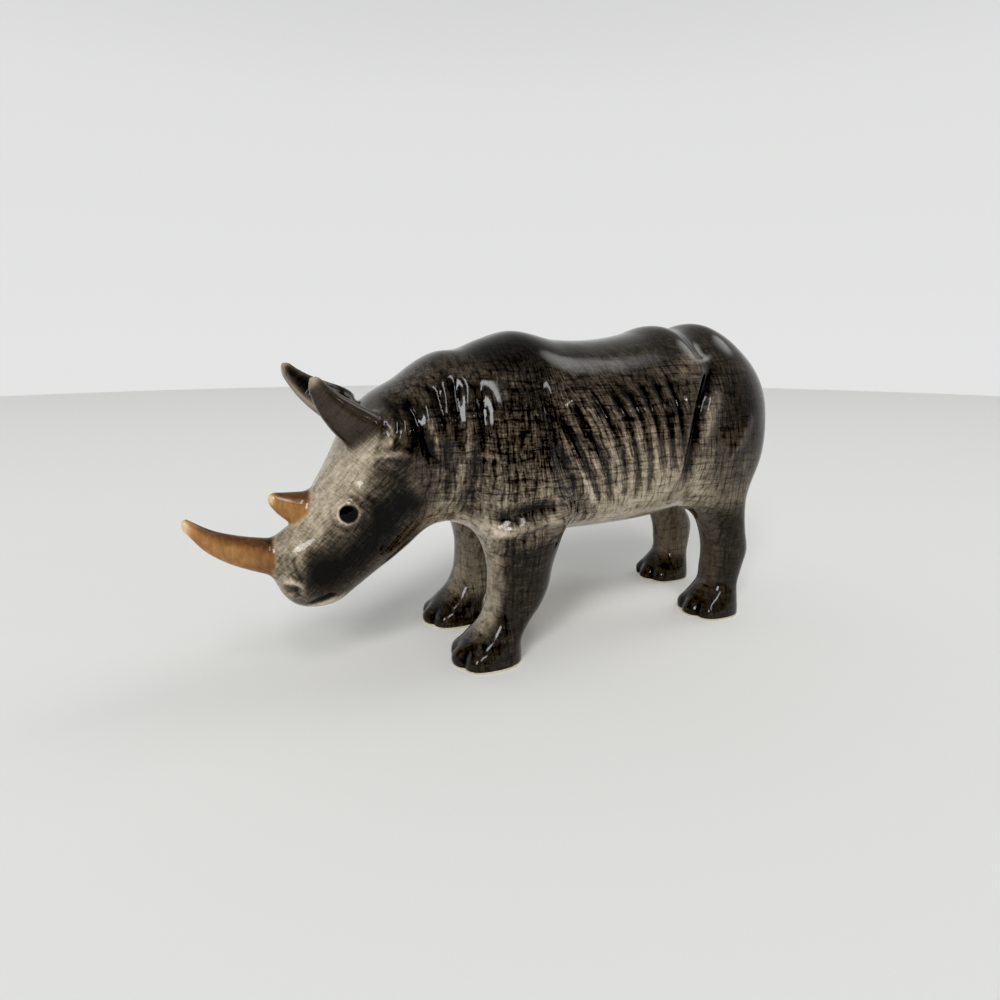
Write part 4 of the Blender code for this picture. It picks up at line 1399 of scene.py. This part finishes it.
@dataclass(frozen=True)
class UnglazedPorcelain:
    """Fired porcelain left bare where the foot stood in the kiln: cream, matt and even."""

    colour: str = "#e4dcc4"
    dark_grain: str = "#cfc5aa"
    roughness: float = 0.75
    grain: float = 0.4

    def material(self) -> bpy.types.Material:
        """Makes the finish: cream, with a faint mottle at the grain's size."""
        material, shader = new_material("bare_porcelain_foot_rim", self.roughness)
        tree = material.node_tree
        place = add(tree, "ShaderNodeTexCoord")
        values = {"Vector": place.outputs["Object"], "Scale": 1 / (self.grain * MM), "Detail": 3.0}
        noise = add(tree, "ShaderNodeTexNoise", None, values)
        mottle = tinted(tree, noise.outputs["Fac"], ((0.3, self.dark_grain), (0.7, self.colour)))
        tree.links.new(mottle, shader.inputs["Base Color"])
        return material


@dataclass(frozen=True)
class PaperFloor:
    """Pale matt paper."""

    colour: str = "#eeeeeb"
    roughness: float = 0.9

    def material(self) -> bpy.types.Material:
        """Makes the finish, which is plain on purpose."""
        material, shader = new_material("pale_matt_paper", self.roughness)
        shader.inputs["Base Color"].default_value = linear(self.colour)
        shader.inputs["Specular IOR Level"].default_value = 0.2
        return material


# Studio


@dataclass
class Studio:
    """The floor, the light and the camera, in metres and degrees, and the sensor in mm."""

    floor_radius: float = 0.62
    camera_place: Place = (-0.04553, -0.08550, 0.0430)
    camera_turn: float = 26.957
    camera_drop: float = 13.2
    focal_pixels: float = 670.0
    image_width: float = 1000.0
    sensor_width: float = 36.0
    clip: Flat = (0.005, 10.0)
    wall: Stops = ((0.0, "#e4e5e4"), (0.30, "#e0e1e0"), (0.85, "#a2a3a4"))
    room: Stops = ((0.0, "#787878"), (0.35, "#848484"), (0.85, "#a2a3a4"))
    sheen_from: Place = (0.69, 0.0, 0.72)
    sheen_cosine: float = 0.960
    sheen_strength: float = 3.2
    lit_place: Place = (0.0, 0.0, 0.02)
    lamps: tuple[tuple[str, Place, Flat, float, str], ...] = (
        ("window", (-1.46, -1.42, 1.28), (0.50, 1.00), 26.0, "#ffffff"),
        ("high_window", (-0.29, -1.25, 1.53), (0.20, 0.90), 7.5, "#ffffff"),
        ("bulb_0.00", (0.60, -0.90, 0.50), (0.025, 0.025), 0.16, "#fff4e6"),
        ("bulb_0.09", (0.69, -0.90, 0.50), (0.025, 0.025), 0.16, "#fff4e6"),
    )

    def floor(self) -> bpy.types.Object:
        """A round floor, whose rim has points at angle a, with x = r cos a and y = r sin a."""
        around = 96
        angle = np.linspace(0, 2 * np.pi, around, endpoint=False)
        rim = np.stack([np.cos(angle), np.sin(angle), np.zeros(around)], axis=1) * self.floor_radius
        mesh = bpy.data.meshes.new("floor")
        mesh.from_pydata(rim.tolist(), [], [tuple(range(around))])
        floor = in_scene("floor", mesh)
        mesh.materials.append(PaperFloor().material())
        return floor

    def lamp(self, name: str, place: Place, size: Flat, power: float, colour: str) -> None:
        """Adds a soft box that faces the figurine."""
        light = bpy.data.lights.new(name, "AREA")
        light.shape = "RECTANGLE"
        light.size, light.size_y = size
        light.energy = power
        light.color = linear(colour)[:3]
        lamp = in_scene(name, light)
        back = unit(np.array(place) - np.array(self.lit_place))
        right = unit(np.cross((0, 0, 1), back))
        up = np.cross(back, right)
        lamp.matrix_world = Matrix(np.column_stack([right, up, back]).tolist()).to_4x4()
        lamp.location = place
        lamp.visible_camera = False

    def light(self) -> None:
        """A pale sky with a soft glow in it, a window, a high window and two bulbs.

        The sky's colours are the room's on the camera's side and the wall's behind the figurine.
        """
        world = bpy.data.worlds.new("pale_sky")
        world.use_nodes = True
        tree = world.node_tree
        place = add(tree, "ShaderNodeTexCoord")
        parted = add(tree, "ShaderNodeSeparateXYZ", None, {0: place.outputs["Generated"]})
        room, wall = (tinted(tree, parted.outputs["Z"], stops) for stops in (self.room, self.wall))
        turn = np.radians(self.camera_turn)
        shares = []
        for way in ((np.sin(turn), np.cos(turn), 0.0), unit(self.sheen_from)):
            values = {0: place.outputs["Generated"], 1: tuple(float(part) for part in way)}
            dot = add(tree, "ShaderNodeVectorMath", {"operation": "DOT_PRODUCT"}, values)
            shares.append(dot.outputs["Value"])
        behind, toward = shares
        sky = mixed(tree, ranged(tree, behind, (-0.3, 0.4)), room, wall)
        strength = (0.0, self.sheen_strength)
        sheen = ranged(tree, toward, (self.sheen_cosine, 1.0), strength, interpolation_type="SMOOTHSTEP")
        white = linear("#ffffff")
        lit = mixed(tree, sheen, sky, white, blend_type="ADD", clamp_factor=False)
        tree.links.new(lit, tree.nodes["Background"].inputs["Color"])
        bpy.context.scene.world = world
        for lamp in self.lamps:
            self.lamp(*lamp)

    def camera(self) -> None:
        """The camera at the photograph's place and angle."""
        data = bpy.data.cameras.new("camera")
        data.sensor_width = self.sensor_width
        data.lens = self.focal_pixels / self.image_width * self.sensor_width
        data.clip_start, data.clip_end = self.clip
        camera = in_scene("camera", data)
        camera.location = self.camera_place
        camera.rotation_euler = (np.radians(90 - self.camera_drop), 0.0, np.radians(-self.camera_turn))
        bpy.context.scene.camera = camera


def main() -> None:
    """Builds the figurine and its studio, and logs each piece."""
    logging.basicConfig(level=logging.INFO, format="%(name)s: %(message)s")
    view = bpy.context.scene.view_settings
    view.view_transform = "Standard"
    view.use_curve_mapping = True
    view.curve_mapping.black_level = (BLACK_POINT,) * 3
    view.curve_mapping.update()
    studio = Studio()
    studio.camera()
    studio.light()
    studio.floor()
    animal = Rhinoceros()
    figure = animal.build()
    figure.data.materials.append(PaintedPorcelain().material())
    figure.data.materials.append(UnglazedPorcelain().material())
    heights = np.array([face.center.z for face in figure.data.polygons])
    bare = (heights < animal.rim_height * MM).astype(np.int32)
    figure.data.polygons.foreach_set("material_index", bare)
    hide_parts(NODE)
    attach(figure, BODY)
    log.info("%s: %d faces, %d points", figure.name, len(figure.data.polygons), len(figure.data.vertices))


if __name__ == "__main__":
    main()
